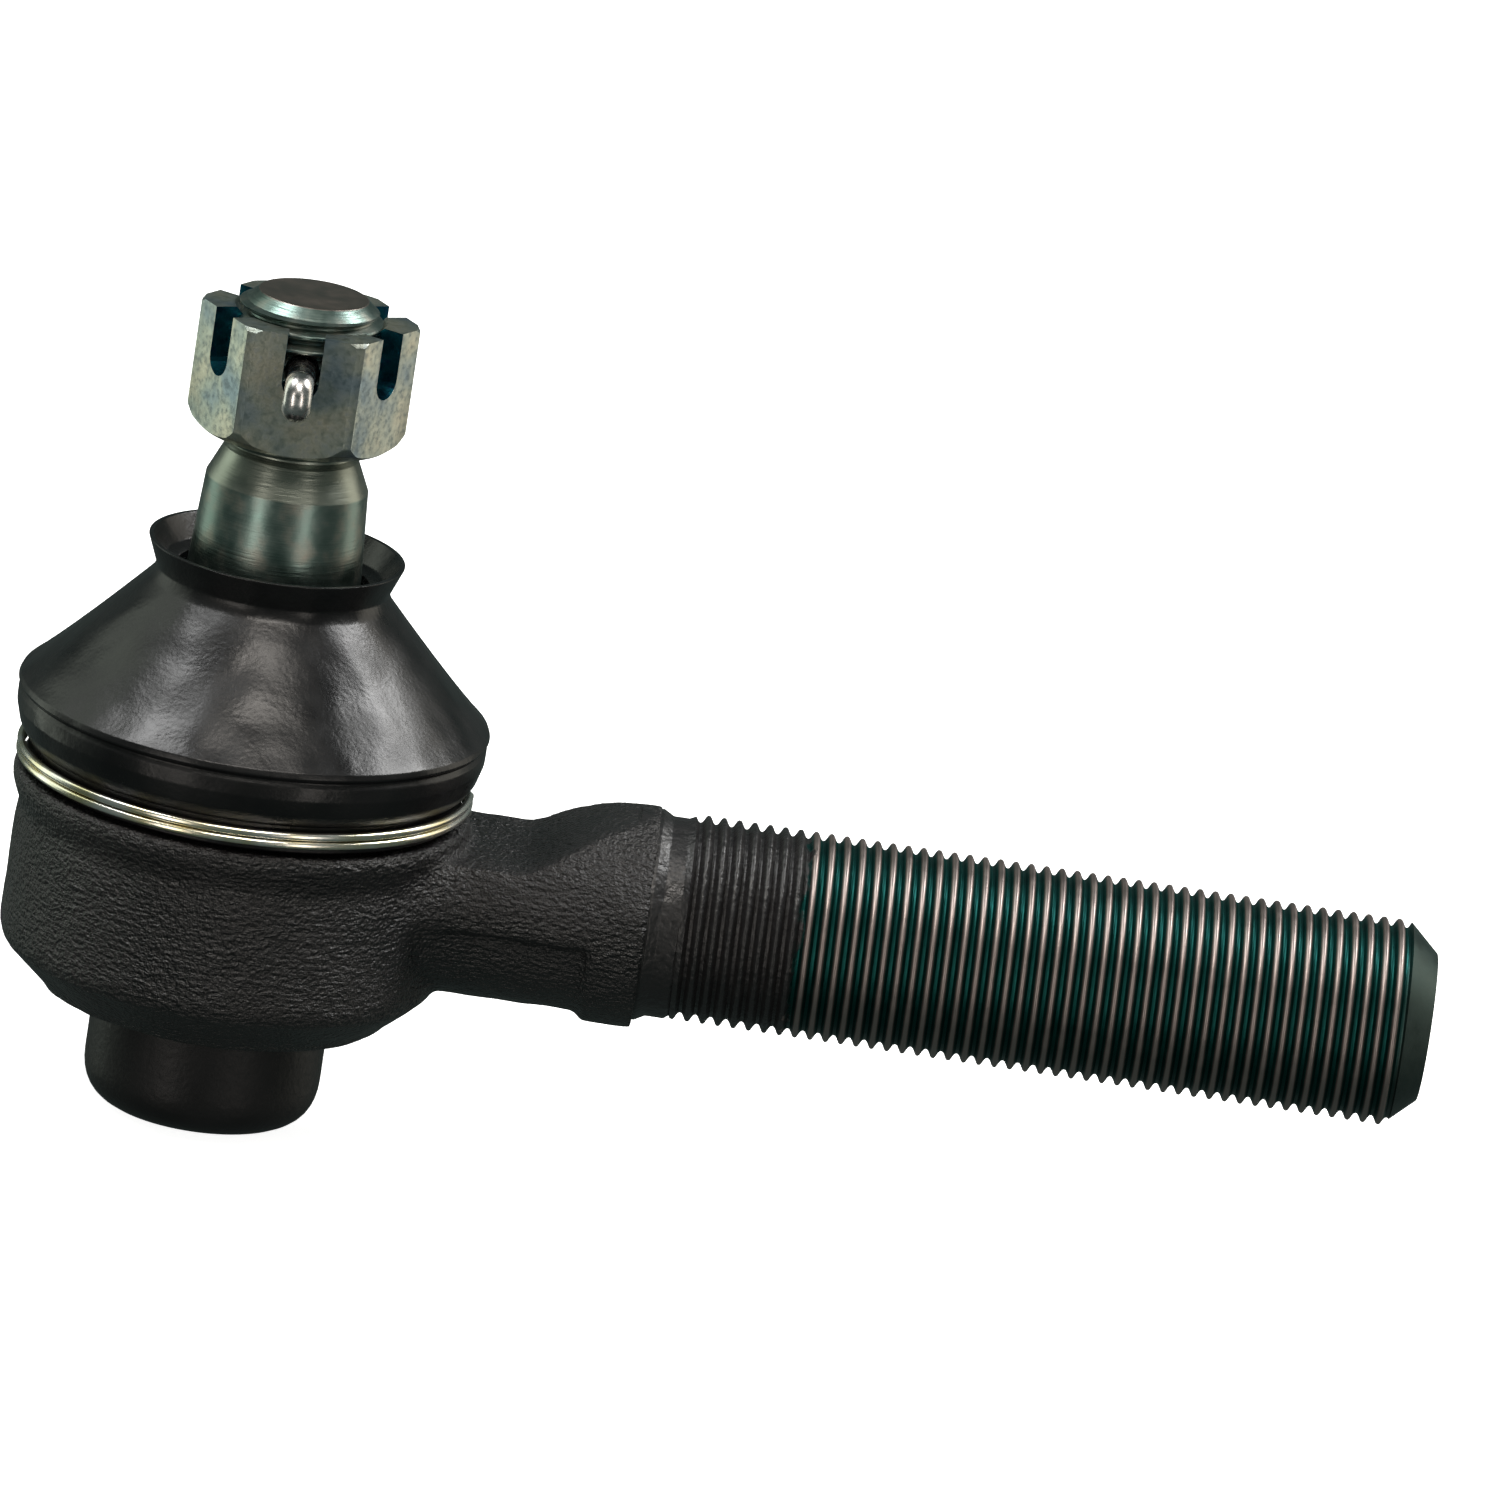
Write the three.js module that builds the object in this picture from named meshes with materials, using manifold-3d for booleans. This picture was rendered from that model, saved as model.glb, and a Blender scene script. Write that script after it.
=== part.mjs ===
// Outer tie rod end: a forged housing with a threaded shank holds a tapered ball stud, which swings
// and turns in two resin races under a sprung seat, behind a rubber boot, with a castle nut and pin.
// Millimetres. +Z runs up the stud, +X along the shank; the origin is the middle of the end cover's
// flat bottom face.
import * as THREE from "three";
import { mergeVertices } from "three/addons/utils/BufferGeometryUtils.js";
import Module from "manifold-3d";

const wasm = await Module();
wasm.setup();

// ---------------------------------------------------------------- clearances
const GAP = 0.3; // between pieces that touch when assembled
const BALL_CLEARANCE = 0.06; // radial, ball to races
const THREAD_CLEARANCE = 0.12; // radial, nut thread to stud thread
const SWING_DEG = 18; // stud swing about X and about Y, each way
const SWING_MARGIN_DEG = 3.5; // extra opening round the stud's neck at full swing
const NECK_SWING_CLEARANCE = 0.6; // stud's neck to the housing's rim at full swing

// ---------------------------------------------------------------- ball stud
const BALL_RADIUS = 12.5;
const BALL_FLAT_RADIUS = 4; // flat under the ball, a grease space
const NECK_RADIUS = 6;
const NECK_LENGTH = 16.8; // ball centre to the start of the flare
const FLARE_LENGTH = 4.5;
const TAPER_STEP = 0.85; // taper's small end stands this far outside the thread's crests
const TAPER_RATE = 1 / 16; // radius per length, a 1:8 taper on the diameter
const TAPER_LENGTH = 16.1;
const TAPER_SHOULDER_LENGTH = 3; // cone from the taper down to the thread
const STUD_THREAD_RADIUS = 7; // M14 x 1.5
const STUD_PITCH = 1.5;
const STUD_THREAD_LENGTH = 15.7;
const STUD_END_STEP = 1.75; // the flat end is this much smaller in radius than the thread
const STUD_END_CHAMFER = 1.5;

// ---------------------------------------------------------------- races, seat, spring
const UPPER_RACE_THICKNESS = 1.6;
const LOWER_RACE_THICKNESS = 1.25;
const UPPER_RACE_START_DEG = 8; // latitude of the upper race's lower edge
const LOWER_RACE_TOP_DEG = -14;
const LOWER_RACE_BOTTOM_DEG = -62;
const SEAT_FLOOR = 1.7;
const SEAT_WEB = 1.6;
const SEAT_TOP_DEG = -30;
const SEAT_HOLE_RADIUS = 2.5;
const SEAT_BOSS_CLEARANCE = 0.5; // radial, pressure cup's boss to the cover's bore
const SPRING_HEIGHT = 8.3;
const SPRING_WIRE_RADIUS = 0.9;
const SPRING_TURNS = 2.75;
const SPRING_TAPER = 1.8; // how much the top coil's radius is smaller than the bottom coil's

// ---------------------------------------------------------------- housing and cover
const HOUSING_WALL = 6.8;
const HOUSING_LIP = 0.7; // the lip under the clamp ring stands this far out of the body
const HOUSING_TOP_RIM = 2.8; // wall above the race pocket's edge
const BOOT_GROOVE_DEPTH = 2.1;
const BOOT_GROOVE_HEIGHT = 3.4;
const BOOT_COLLAR_HEIGHT = 1.8;
const BOTTOM_CHAMFER_HEIGHT = 3.3;
const BOTTOM_CHAMFER_WIDTH = 3.7;
const WAIST_DEPTH = 0.3; // the body narrows this much under the lip
const COLLAR_EDGE = 0.6; // rolled edge of the collar above the boot groove
const COVER_RADIUS = 11.5;
const COVER_WALL = 1.4;
const COVER_CORNER_RADIUS = 4.5;
const FLANGE_OVERHANG = 1.1; // the cover's flange beyond the housing's bore
const CRIMP_THICKNESS = 0.9;
const CRIMP_OPENING = 0.7; // radial, crimped lip to the cover's cup
const SEAL_HEIGHT = 0.8;

// ---------------------------------------------------------------- threaded shank
const SHANK_LENGTH = 116.5; // stud axis to the shank's end face
const SHANK_THREAD_RADIUS = 10; // M20 x 1.5
const SHANK_PITCH = 1.5;
const SHANK_END_STEP = 2.8; // the end face is this much smaller in radius than the thread
const SHANK_END_CHAMFER = 3.1;
const BAR_STEP = 0.8; // the forged bar stands this far outside the thread's crests
const BAR_DROP = 0.6; // the bar's axis lies this far under the thread's axis
const ROOT_FILLET = 10; // between the housing and the sides of the bar
const BAR_LENGTH = 18.9; // housing to the bar's end
const BAR_WAIST = 0.9; // the bar's underside is relieved this much next to the housing
const COLLAR_STEP = 0.2; // the collar lies this far inside the thread's crests
const COLLAR_DROP = 0.3; // the as-forged collar's axis under the thread's axis
const COLLAR_LENGTH = 3.6;
const SCOOP_FLOOR = 4.6; // flat on top of the bar, above the thread's axis
const SCOOP_FLAT_LENGTH = 5.8; // housing to the start of the scoop's ramp

// ---------------------------------------------------------------- boot and rings
const BOOT_WALL = 1.9;
const BOOT_SKIRT_HEIGHT = 5.8; // clamp ring to the boot's widest edge
const BOOT_LIP_FLARE = 1.1; // lip's edge outside the neck groove
const BOOT_LIP_RISE = 9.3; // boot's open top edge above the start of the stud's taper
const BOOT_BULGE = 1.35; // how far the boot stands out of its foot at its widest
const RING_WIRE_RADIUS = 0.4;
const RING_TURNS = 2;
const NECK_RING_THICKNESS = 1;
const NECK_RING_HEIGHT = 3;

// ---------------------------------------------------------------- castle nut and split pin
const NUT_WALL = 2.35; // thread crests to a flat: 19 nominal across flats on an M14 thread
const NUT_CORNER_ROUNDING = 0.25; // taken off each sharp corner by cold forming
const NUT_HEIGHT = 12.1;
const NUT_LIFT = 1.8; // nut's bearing face above the start of the thread
const NUT_SLOT_DEPTH = 6.3;
const PIN_HALF_WIDTH = 1.35;
const PIN_HOLE_CLEARANCE = 0.35;
const PIN_SLOT_CLEARANCE = 0.42;
const PIN_WIRE_THICKNESS = 1.2;
const PIN_SEAT_LIFT = 0.8; // pin above the bottom of the nut's slots
const PIN_LEG_SPREAD = 1.1; // the legs are left nearly straight behind the nut
const PIN_LEG_GAP = 0.1;
const PIN_EYE_RADIUS = 1.35;
const PIN_EYE_DROP = 0.9;
const PIN_TAIL = 5.5;

// ---------------------------------------------------------------- mesh fineness
const ROUND = 32; // sides of the large turned pieces
const SMALL_ROUND = 24; // sides of the small turned pieces
const THREAD_SIDES = 16;
const ARC_STEPS = 5;

// ---------------------------------------------------------------- derived places
const rad = THREE.MathUtils.degToRad;
const fullSwing = Math.acos(Math.cos(rad(SWING_DEG)) ** 2);
const facet = 1 / Math.cos(Math.PI / SMALL_ROUND) ** 2; // keeps a faceted bore outside its ball
const raceInner = (BALL_RADIUS + BALL_CLEARANCE) * facet;
const upperRaceOuter = raceInner + UPPER_RACE_THICKNESS;
const lowerRaceOuter = raceInner + LOWER_RACE_THICKNESS;
const seatPocket = (lowerRaceOuter + BALL_CLEARANCE) * facet;
const boreRadius = upperRaceOuter + GAP;
const housingRadius = boreRadius + HOUSING_WALL;

const springBottom = COVER_WALL + GAP;
const seatBottom = springBottom + SPRING_HEIGHT + GAP;
const ballZ = seatBottom + SEAT_FLOOR + seatPocket;
const seatBossRadius = COVER_RADIUS - COVER_WALL - SEAT_BOSS_CLEARANCE;
const seatRimZ = ballZ - Math.sqrt(seatPocket ** 2 - (seatBossRadius - SEAT_WEB) ** 2);
const flangeTop = seatRimZ - GAP;
const flangeBottom = flangeTop - COVER_WALL;
const crimpTop = flangeBottom - GAP;
const crimpBottom = crimpTop - CRIMP_THICKNESS;
const flangeRadius = boreRadius + FLANGE_OVERHANG;
const shoulderZ = flangeTop + SEAL_HEIGHT + 2 * GAP;

const openingAngle = fullSwing + Math.asin(NECK_RADIUS / boreRadius) + rad(SWING_MARGIN_DEG);
const raceTopAngle = fullSwing + Math.asin(NECK_RADIUS / BALL_RADIUS) + rad(SWING_MARGIN_DEG);
const housingTop = ballZ + boreRadius * Math.cos(openingAngle) + HOUSING_TOP_RIM;
const swungNeck =
  (NECK_RADIUS + (housingTop - ballZ) * Math.sin(fullSwing)) / Math.cos(fullSwing);
const topOpening = swungNeck + NECK_SWING_CLEARANCE;
const grooveRadius = housingRadius - BOOT_GROOVE_DEPTH;
const grooveTop = housingTop - BOOT_COLLAR_HEIGHT;
const lipTop = grooveTop - BOOT_GROOVE_HEIGHT;
const barRadius = SHANK_THREAD_RADIUS + BAR_STEP;
const barEnd = housingRadius + BAR_LENGTH;

const taperSmallRadius = STUD_THREAD_RADIUS + TAPER_STEP;
const taperStart = ballZ + NECK_LENGTH + FLARE_LENGTH;
const taperEnd = taperStart + TAPER_LENGTH;
const threadStart = taperEnd + TAPER_SHOULDER_LENGTH;
const studEnd = threadStart + STUD_THREAD_LENGTH;
const taperRadius = (z) => taperSmallRadius + (taperEnd - z) * TAPER_RATE;
const pinHoleRadius = PIN_HALF_WIDTH + PIN_HOLE_CLEARANCE;
const nutFlat = STUD_THREAD_RADIUS + NUT_WALL; // axis to a flat
const nutSlotWidth = 2 * (PIN_HALF_WIDTH + PIN_SLOT_CLEARANCE);
const nutBottom = threadStart + NUT_LIFT;
const nutTop = nutBottom + NUT_HEIGHT;
const pinZ = nutTop - NUT_SLOT_DEPTH + PIN_WIRE_THICKNESS + PIN_LEG_GAP + PIN_SEAT_LIFT;

// ---------------------------------------------------------------- shape helpers
function toSolid(geometry) {
  const bare = geometry.clone();
  bare.deleteAttribute("normal");
  bare.deleteAttribute("uv");
  const merged = mergeVertices(bare, 1e-4);
  const triangles = [];
  for (let i = 0; i < merged.index.count; i += 3) {
    const [a, b, c] = [0, 1, 2].map((k) => merged.index.getX(i + k));
    if (a !== b && b !== c && c !== a) triangles.push(a, b, c);
  }
  const mesh = new wasm.Mesh({
    numProp: 3,
    vertProperties: merged.attributes.position.array,
    triVerts: new Uint32Array(triangles),
  });
  return new wasm.Manifold(mesh);
}

function toGeometry(solid) {
  const mesh = solid.getMesh();
  const geometry = new THREE.BufferGeometry();
  geometry.setAttribute("position", new THREE.BufferAttribute(mesh.vertProperties, 3));
  geometry.setIndex(new THREE.BufferAttribute(mesh.triVerts, 1));
  const flat = geometry.toNonIndexed();
  flat.computeVertexNormals();
  return flat;
}

// A solid of revolution about Z. The outline is [radius, z] pairs, up the outside first.
function turned(outline, sides) {
  const points = outline.map(([r, z]) => new THREE.Vector2(Math.max(r, 0), z));
  const closed = points[0].x === 0 && points.at(-1).x === 0;
  if (!closed) points.push(points[0].clone());
  return new THREE.LatheGeometry(points, sides).rotateX(Math.PI / 2);
}

// Points of an arc round [cr, cz], from one angle to another, in degrees from the +r direction.
function arc(cr, cz, radius, fromDeg, toDeg, steps = ARC_STEPS) {
  return Array.from({ length: steps + 1 }, (_, i) => {
    const angle = rad(fromDeg + ((toDeg - fromDeg) * i) / steps);
    return [cr + radius * Math.cos(angle), cz + radius * Math.sin(angle)];
  });
}

// A right-hand V thread about Z as one sheared grid: two rings of points for each pitch, and each
// column of points lies one pitch / sides higher than the column before it.
function threadedRod(crestRadius, pitch, z0, z1) {
  const rootRadius = crestRadius - 0.6134 * pitch;
  const rows = 2 * Math.ceil((z1 - z0) / pitch) + 2;
  const start = z0 - pitch;
  const positions = [];
  const columnStart = [];
  for (let column = 0; column < THREAD_SIDES; column++) {
    columnStart.push(positions.length / 3);
    const angle = (2 * Math.PI * column) / THREAD_SIDES;
    const count = column === 0 ? rows + 2 : rows;
    for (let row = 0; row < count; row++) {
      const radius = row % 2 ? crestRadius : rootRadius;
      const z = start + pitch * (row / 2 + column / THREAD_SIDES);
      positions.push(radius * Math.cos(angle), radius * Math.sin(angle), z);
    }
  }
  const at = (column, row) =>
    column === THREAD_SIDES ? columnStart[0] + row + 2 : columnStart[column] + row;
  const triangles = [];
  for (let column = 0; column < THREAD_SIDES; column++) {
    for (let row = 0; row < rows - 1; row++) {
      const [a, b] = [at(column, row), at(column + 1, row)];
      const [c, d] = [at(column, row + 1), at(column + 1, row + 1)];
      triangles.push(a, b, d, a, d, c);
    }
  }
  const bottomLoop = [0, 1];
  const topLoop = [at(0, rows - 1), at(0, rows), at(0, rows + 1)];
  for (let column = THREAD_SIDES; column > 0; column--) bottomLoop.push(at(column, 0));
  for (let column = THREAD_SIDES - 1; column > 0; column--) topLoop.push(at(column, rows - 1));
  const bottomMiddle = positions.length / 3;
  positions.push(0, 0, start);
  positions.push(0, 0, start + (pitch * (rows + 1)) / 2);
  bottomLoop.forEach((point, i) => {
    triangles.push(bottomMiddle, point, bottomLoop[(i + 1) % bottomLoop.length]);
  });
  topLoop.forEach((point, i) => {
    triangles.push(bottomMiddle + 1, topLoop[(i + 1) % topLoop.length], point);
  });
  const geometry = new THREE.BufferGeometry();
  geometry.setAttribute("position", new THREE.Float32BufferAttribute(positions, 3));
  geometry.setIndex(triangles);
  return geometry;
}

// A round wire along a curve.
function wire(curve, radius, steps, sides) {
  const section = new THREE.Shape();
  section.absarc(0, 0, radius, 0, 2 * Math.PI);
  return new THREE.ExtrudeGeometry(section, {
    extrudePath: curve,
    steps,
    curveSegments: sides / 2,
    bevelEnabled: false,
  });
}

class Coil extends THREE.Curve {
  constructor(bottomRadius, topRadius, z0, z1, turns) {
    super();
    Object.assign(this, { bottomRadius, topRadius, z0, z1, turns });
  }

  getPoint(t) {
    const radius = THREE.MathUtils.lerp(this.bottomRadius, this.topRadius, t);
    const angle = 2 * Math.PI * this.turns * t;
    const z = THREE.MathUtils.lerp(this.z0, this.z1, t);
    return new THREE.Vector3(radius * Math.cos(angle), radius * Math.sin(angle), z);
  }
}

// ---------------------------------------------------------------- housing
// The forged ball housing, turned about Z: race pocket, bore, cover recess and crimped lip inside;
// clamp lip, boot groove and collar outside.
function housingCup() {
  const openingDeg = 90 - THREE.MathUtils.radToDeg(openingAngle);
  return turned(
    [
      [COVER_RADIUS + CRIMP_OPENING, crimpBottom],
      [housingRadius - 0.9 - BOTTOM_CHAMFER_WIDTH, crimpBottom],
      [housingRadius - 0.4 - BOTTOM_CHAMFER_WIDTH, crimpBottom + 0.7],
      [housingRadius - 0.4, crimpBottom + 0.8 + BOTTOM_CHAMFER_HEIGHT],
      [housingRadius, crimpBottom + 2 + BOTTOM_CHAMFER_HEIGHT],
      [housingRadius - WAIST_DEPTH / 3, lipTop - 5.6],
      [housingRadius - WAIST_DEPTH, lipTop - 3.8],
      [housingRadius + HOUSING_LIP, lipTop - 1.4],
      [housingRadius + HOUSING_LIP, lipTop - 0.4],
      [housingRadius + HOUSING_LIP - 0.4, lipTop],
      [grooveRadius, lipTop],
      [grooveRadius, grooveTop],
      [grooveRadius + COLLAR_EDGE, grooveTop + 0.2],
      [grooveRadius + COLLAR_EDGE, housingTop - COLLAR_EDGE],
      [grooveRadius, housingTop],
      [topOpening, housingTop],
      ...arc(0, ballZ, boreRadius, openingDeg, 0),
      [boreRadius, shoulderZ],
      [flangeRadius + GAP, shoulderZ],
      [flangeRadius + GAP, crimpTop],
      [COVER_RADIUS + CRIMP_OPENING, crimpTop],
    ],
    ROUND,
  );
}

// The forged bar from the housing to the shank: filleted into the housing, then round, with a
// scoop on top.
function neckBar() {
  const filletY = barRadius + ROOT_FILLET;
  const filletX = Math.sqrt((housingRadius + ROOT_FILLET) ** 2 - filletY ** 2);
  const tangentX = (filletX * housingRadius) / (housingRadius + ROOT_FILLET);
  const inWall = flangeRadius + 2 * GAP; // the bar starts in the wall, outside the cover's recess
  const filletStart = Math.max(tangentX, inWall + 1);
  const relieved = barRadius - BAR_WAIST;
  const inFillet = [0, 0.2, 0.45, 0.72].map((t) => {
    const x = THREE.MathUtils.lerp(filletStart, filletX, t);
    const halfWidth = filletY - Math.sqrt(ROOT_FILLET ** 2 - (filletX - x) ** 2);
    return { x, halfWidth, down: relieved };
  });
  const stations = [
    { x: inWall, halfWidth: inFillet[0].halfWidth - 1, down: relieved },
    ...inFillet,
    { x: filletX, halfWidth: barRadius, down: relieved },
    { x: barEnd - 10, halfWidth: barRadius, down: relieved + 0.1 },
    { x: barEnd - 6.5, halfWidth: barRadius, down: barRadius },
    { x: barEnd, halfWidth: barRadius, down: barRadius },
  ];
  const positions = [];
  const triangles = [];
  const middleZ = ballZ - BAR_DROP;
  stations.forEach(({ x, halfWidth, down }) => {
    for (let i = 0; i < SMALL_ROUND; i++) {
      const angle = (2 * Math.PI * i) / SMALL_ROUND;
      const up = Math.sin(angle);
      positions.push(x, halfWidth * Math.cos(angle), middleZ + up * (up > 0 ? barRadius : down));
    }
  });
  for (let s = 0; s < stations.length - 1; s++) {
    for (let i = 0; i < SMALL_ROUND; i++) {
      const next = (i + 1) % SMALL_ROUND;
      const [a, b] = [s * SMALL_ROUND + i, s * SMALL_ROUND + next];
      const [c, d] = [a + SMALL_ROUND, b + SMALL_ROUND];
      triangles.push(a, d, c, a, b, d);
    }
  }
  const last = (stations.length - 1) * SMALL_ROUND;
  for (let i = 1; i < SMALL_ROUND - 1; i++) {
    triangles.push(0, i + 1, i);
    triangles.push(last, last + i, last + i + 1);
  }
  const geometry = new THREE.BufferGeometry();
  geometry.setAttribute("position", new THREE.Float32BufferAttribute(positions, 3));
  geometry.setIndex(triangles);

  const scoop = new THREE.Shape();
  const floor = ballZ + SCOOP_FLOOR;
  const rampStart = housingRadius + SCOOP_FLAT_LENGTH;
  const above = ballZ + 2 * barRadius;
  scoop.moveTo(0, above);
  scoop.lineTo(0, floor);
  scoop.lineTo(rampStart, floor);
  scoop.bezierCurveTo(
    rampStart + 2.9,
    floor,
    rampStart + 4.2,
    floor + 3.6,
    barEnd + 0.1,
    ballZ - BAR_DROP + barRadius + 0.1,
  );
  scoop.lineTo(barEnd + 0.1, above);
  const cutter = new THREE.ExtrudeGeometry(scoop, {
    depth: 4 * barRadius,
    curveSegments: 2 * ARC_STEPS,
    bevelEnabled: false,
  });
  cutter.translate(0, 0, -2 * barRadius).rotateX(Math.PI / 2);
  return toSolid(geometry).subtract(toSolid(cutter));
}

// The collar and the threaded shank about X.
function threadedShank() {
  const collarRadius = SHANK_THREAD_RADIUS - COLLAR_STEP;
  const collarEnd = barEnd + COLLAR_LENGTH;
  const collar = turned(
    [
      [0, barEnd - 2],
      [collarRadius + 0.6, barEnd - 2],
      [collarRadius + 0.6, barEnd + 0.3],
      [collarRadius, barEnd + 1.3],
      [collarRadius, collarEnd - 0.6],
      [collarRadius - 0.8, collarEnd],
      [0, collarEnd],
    ],
    THREAD_SIDES,
  ).translate(COLLAR_DROP, 0, 0);
  const chamferStart = SHANK_LENGTH - SHANK_END_CHAMFER;
  const envelope = turned(
    [
      [0, collarEnd - 1],
      [SHANK_THREAD_RADIUS + 0.05, collarEnd - 1],
      [SHANK_THREAD_RADIUS + 0.05, chamferStart],
      [SHANK_THREAD_RADIUS - SHANK_END_STEP, SHANK_LENGTH],
      [0, SHANK_LENGTH],
    ],
    THREAD_SIDES,
  );
  const rod = threadedRod(SHANK_THREAD_RADIUS, SHANK_PITCH, collarEnd - 1, SHANK_LENGTH);
  const shank = toSolid(rod.rotateZ(Math.PI / 2)).intersect(toSolid(envelope)).add(toSolid(collar));
  return shank.rotate([0, 90, 0]).translate([0, 0, ballZ]);
}

function housing() {
  return toGeometry(toSolid(housingCup()).add(neckBar()).add(threadedShank()));
}

// ---------------------------------------------------------------- what the housing holds
function upperBallRace() {
  const topDeg = 90 - THREE.MathUtils.radToDeg(raceTopAngle);
  return turned(
    [
      ...arc(0, ballZ, upperRaceOuter, UPPER_RACE_START_DEG, topDeg, ARC_STEPS - 1),
      ...arc(0, ballZ, raceInner, topDeg, UPPER_RACE_START_DEG, ARC_STEPS - 1),
    ],
    SMALL_ROUND,
  );
}

function lowerBallRace() {
  return turned(
    [
      ...arc(0, ballZ, lowerRaceOuter, LOWER_RACE_BOTTOM_DEG, LOWER_RACE_TOP_DEG),
      ...arc(0, ballZ, raceInner, LOWER_RACE_TOP_DEG, LOWER_RACE_BOTTOM_DEG),
    ],
    SMALL_ROUND,
  );
}

// The sprung cup under the lower race, with a boss that centres the spring's top coil.
function pressureCup() {
  const holeDeg = -THREE.MathUtils.radToDeg(Math.acos(SEAT_HOLE_RADIUS / seatPocket));
  const outer = boreRadius - GAP;
  const topZ = ballZ + seatPocket * Math.sin(rad(SEAT_TOP_DEG));
  return turned(
    [
      [SEAT_HOLE_RADIUS, seatBottom],
      [seatBossRadius - 0.6, seatBottom],
      [seatBossRadius, seatBottom + 0.6],
      [seatBossRadius, seatRimZ],
      [outer, seatRimZ],
      [outer, topZ],
      ...arc(0, ballZ, seatPocket, SEAT_TOP_DEG, holeDeg),
    ],
    SMALL_ROUND,
  );
}

function seatSpring() {
  const cupInner = COVER_RADIUS - COVER_WALL;
  const cornerInner = COVER_CORNER_RADIUS - COVER_WALL;
  const bottomRadius = cupInner - cornerInner + 0.1;
  const z0 = springBottom + SPRING_WIRE_RADIUS;
  const z1 = springBottom + SPRING_HEIGHT - SPRING_WIRE_RADIUS;
  const coil = new Coil(bottomRadius, bottomRadius - SPRING_TAPER, z0, z1, SPRING_TURNS);
  return wire(coil, SPRING_WIRE_RADIUS, Math.round(SPRING_TURNS * 16), 6);
}

// Deep-drawn steel cup: flat bottom, large corner radius, flange held by the crimped lip.
function endCover() {
  const inner = COVER_RADIUS - COVER_WALL;
  const corner = COVER_CORNER_RADIUS;
  const middle = COVER_RADIUS - corner;
  return turned(
    [
      [0, 0],
      ...arc(middle, corner, corner, -90, 0),
      [COVER_RADIUS, flangeBottom],
      [flangeRadius, flangeBottom],
      [flangeRadius, flangeTop],
      [inner, flangeTop],
      ...arc(middle, corner, corner - COVER_WALL, 0, -90),
      [0, COVER_WALL],
    ],
    ROUND,
  );
}

function coverSeal() {
  const z0 = flangeTop + GAP;
  return turned(
    [
      [boreRadius + 0.1, z0],
      [flangeRadius, z0],
      [flangeRadius, z0 + SEAL_HEIGHT],
      [boreRadius + 0.1, z0 + SEAL_HEIGHT],
    ],
    SMALL_ROUND,
  );
}

// ---------------------------------------------------------------- boot and its rings
const ringRadius = housingRadius + HOUSING_LIP - RING_WIRE_RADIUS;
const ringPitch = 2 * RING_WIRE_RADIUS + 0.06;
const ringBottom = lipTop + GAP;
const ringTop = ringBottom + 2 * RING_WIRE_RADIUS + RING_TURNS * ringPitch;
const bootLipZ = taperStart + BOOT_LIP_RISE;
const bootNeckZ = bootLipZ - 3.4;
const neckRingTop = bootNeckZ - 0.2;
const neckRingInner = taperRadius(neckRingTop - NECK_RING_HEIGHT) + GAP;
const neckRingOuter = neckRingInner + NECK_RING_THICKNESS;

function bootClampRing() {
  const z0 = ringBottom + RING_WIRE_RADIUS;
  const coil = new Coil(ringRadius, ringRadius, z0, z0 + RING_TURNS * ringPitch, RING_TURNS);
  return wire(coil, RING_WIRE_RADIUS, RING_TURNS * 24, 6);
}

// Moulded boot: foot in the housing's groove, straight skirt, cone, neck groove and open flared lip.
function dustBoot() {
  const footOuter = ringRadius - RING_WIRE_RADIUS - GAP;
  const footInner = grooveRadius + GAP;
  const skirt = housingRadius + 0.1;
  const bulge = skirt + BOOT_BULGE;
  const bulgeZ = ringTop + BOOT_SKIRT_HEIGHT;
  const waist = neckRingOuter + 1.3;
  const lip = waist + BOOT_LIP_FLARE;
  const cone = (t) => [
    THREE.MathUtils.lerp(bulge, waist, t),
    THREE.MathUtils.lerp(bulgeZ, bootNeckZ, t ** 1.08),
  ];
  const seal = taperRadius(bootNeckZ - 6) + GAP;
  return turned(
    [
      [footInner, ringBottom],
      [footOuter, ringBottom],
      [footOuter, ringTop + GAP],
      [skirt, ringTop + GAP],
      [bulge - 0.5, bulgeZ - 2.5],
      [bulge, bulgeZ - 0.4],
      ...[0.04, 0.25, 0.5, 0.75, 0.97].map(cone),
      [waist, bootNeckZ + 0.6],
      [lip, bootLipZ - 0.5],
      [lip, bootLipZ],
      [lip - 0.7, bootLipZ],
      [waist - 0.7, bootNeckZ + 1.2],
      [seal, bootNeckZ + 0.8],
      [seal, bootNeckZ],
      [neckRingOuter + GAP, bootNeckZ],
      [neckRingOuter + GAP, neckRingTop - NECK_RING_HEIGHT - 0.2],
      ...[0.75, 0.5, 0.25].map((t) => {
        const [r, z] = cone(t);
        return [r - 0.62 * BOOT_WALL, z - 0.85 * BOOT_WALL];
      }),
      [bulge - BOOT_WALL, bulgeZ - 1.6],
      [skirt - BOOT_WALL + 0.9, ringTop + 2.2],
      [footInner + 1, ringTop + 0.9],
      [footInner, ringTop + 0.6],
    ],
    ROUND,
  );
}

function bootNeckRing() {
  return turned(
    [
      [neckRingInner, neckRingTop - NECK_RING_HEIGHT],
      [neckRingOuter, neckRingTop - NECK_RING_HEIGHT],
      [neckRingOuter, neckRingTop],
      [neckRingInner, neckRingTop],
    ],
    SMALL_ROUND,
  );
}

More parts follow.
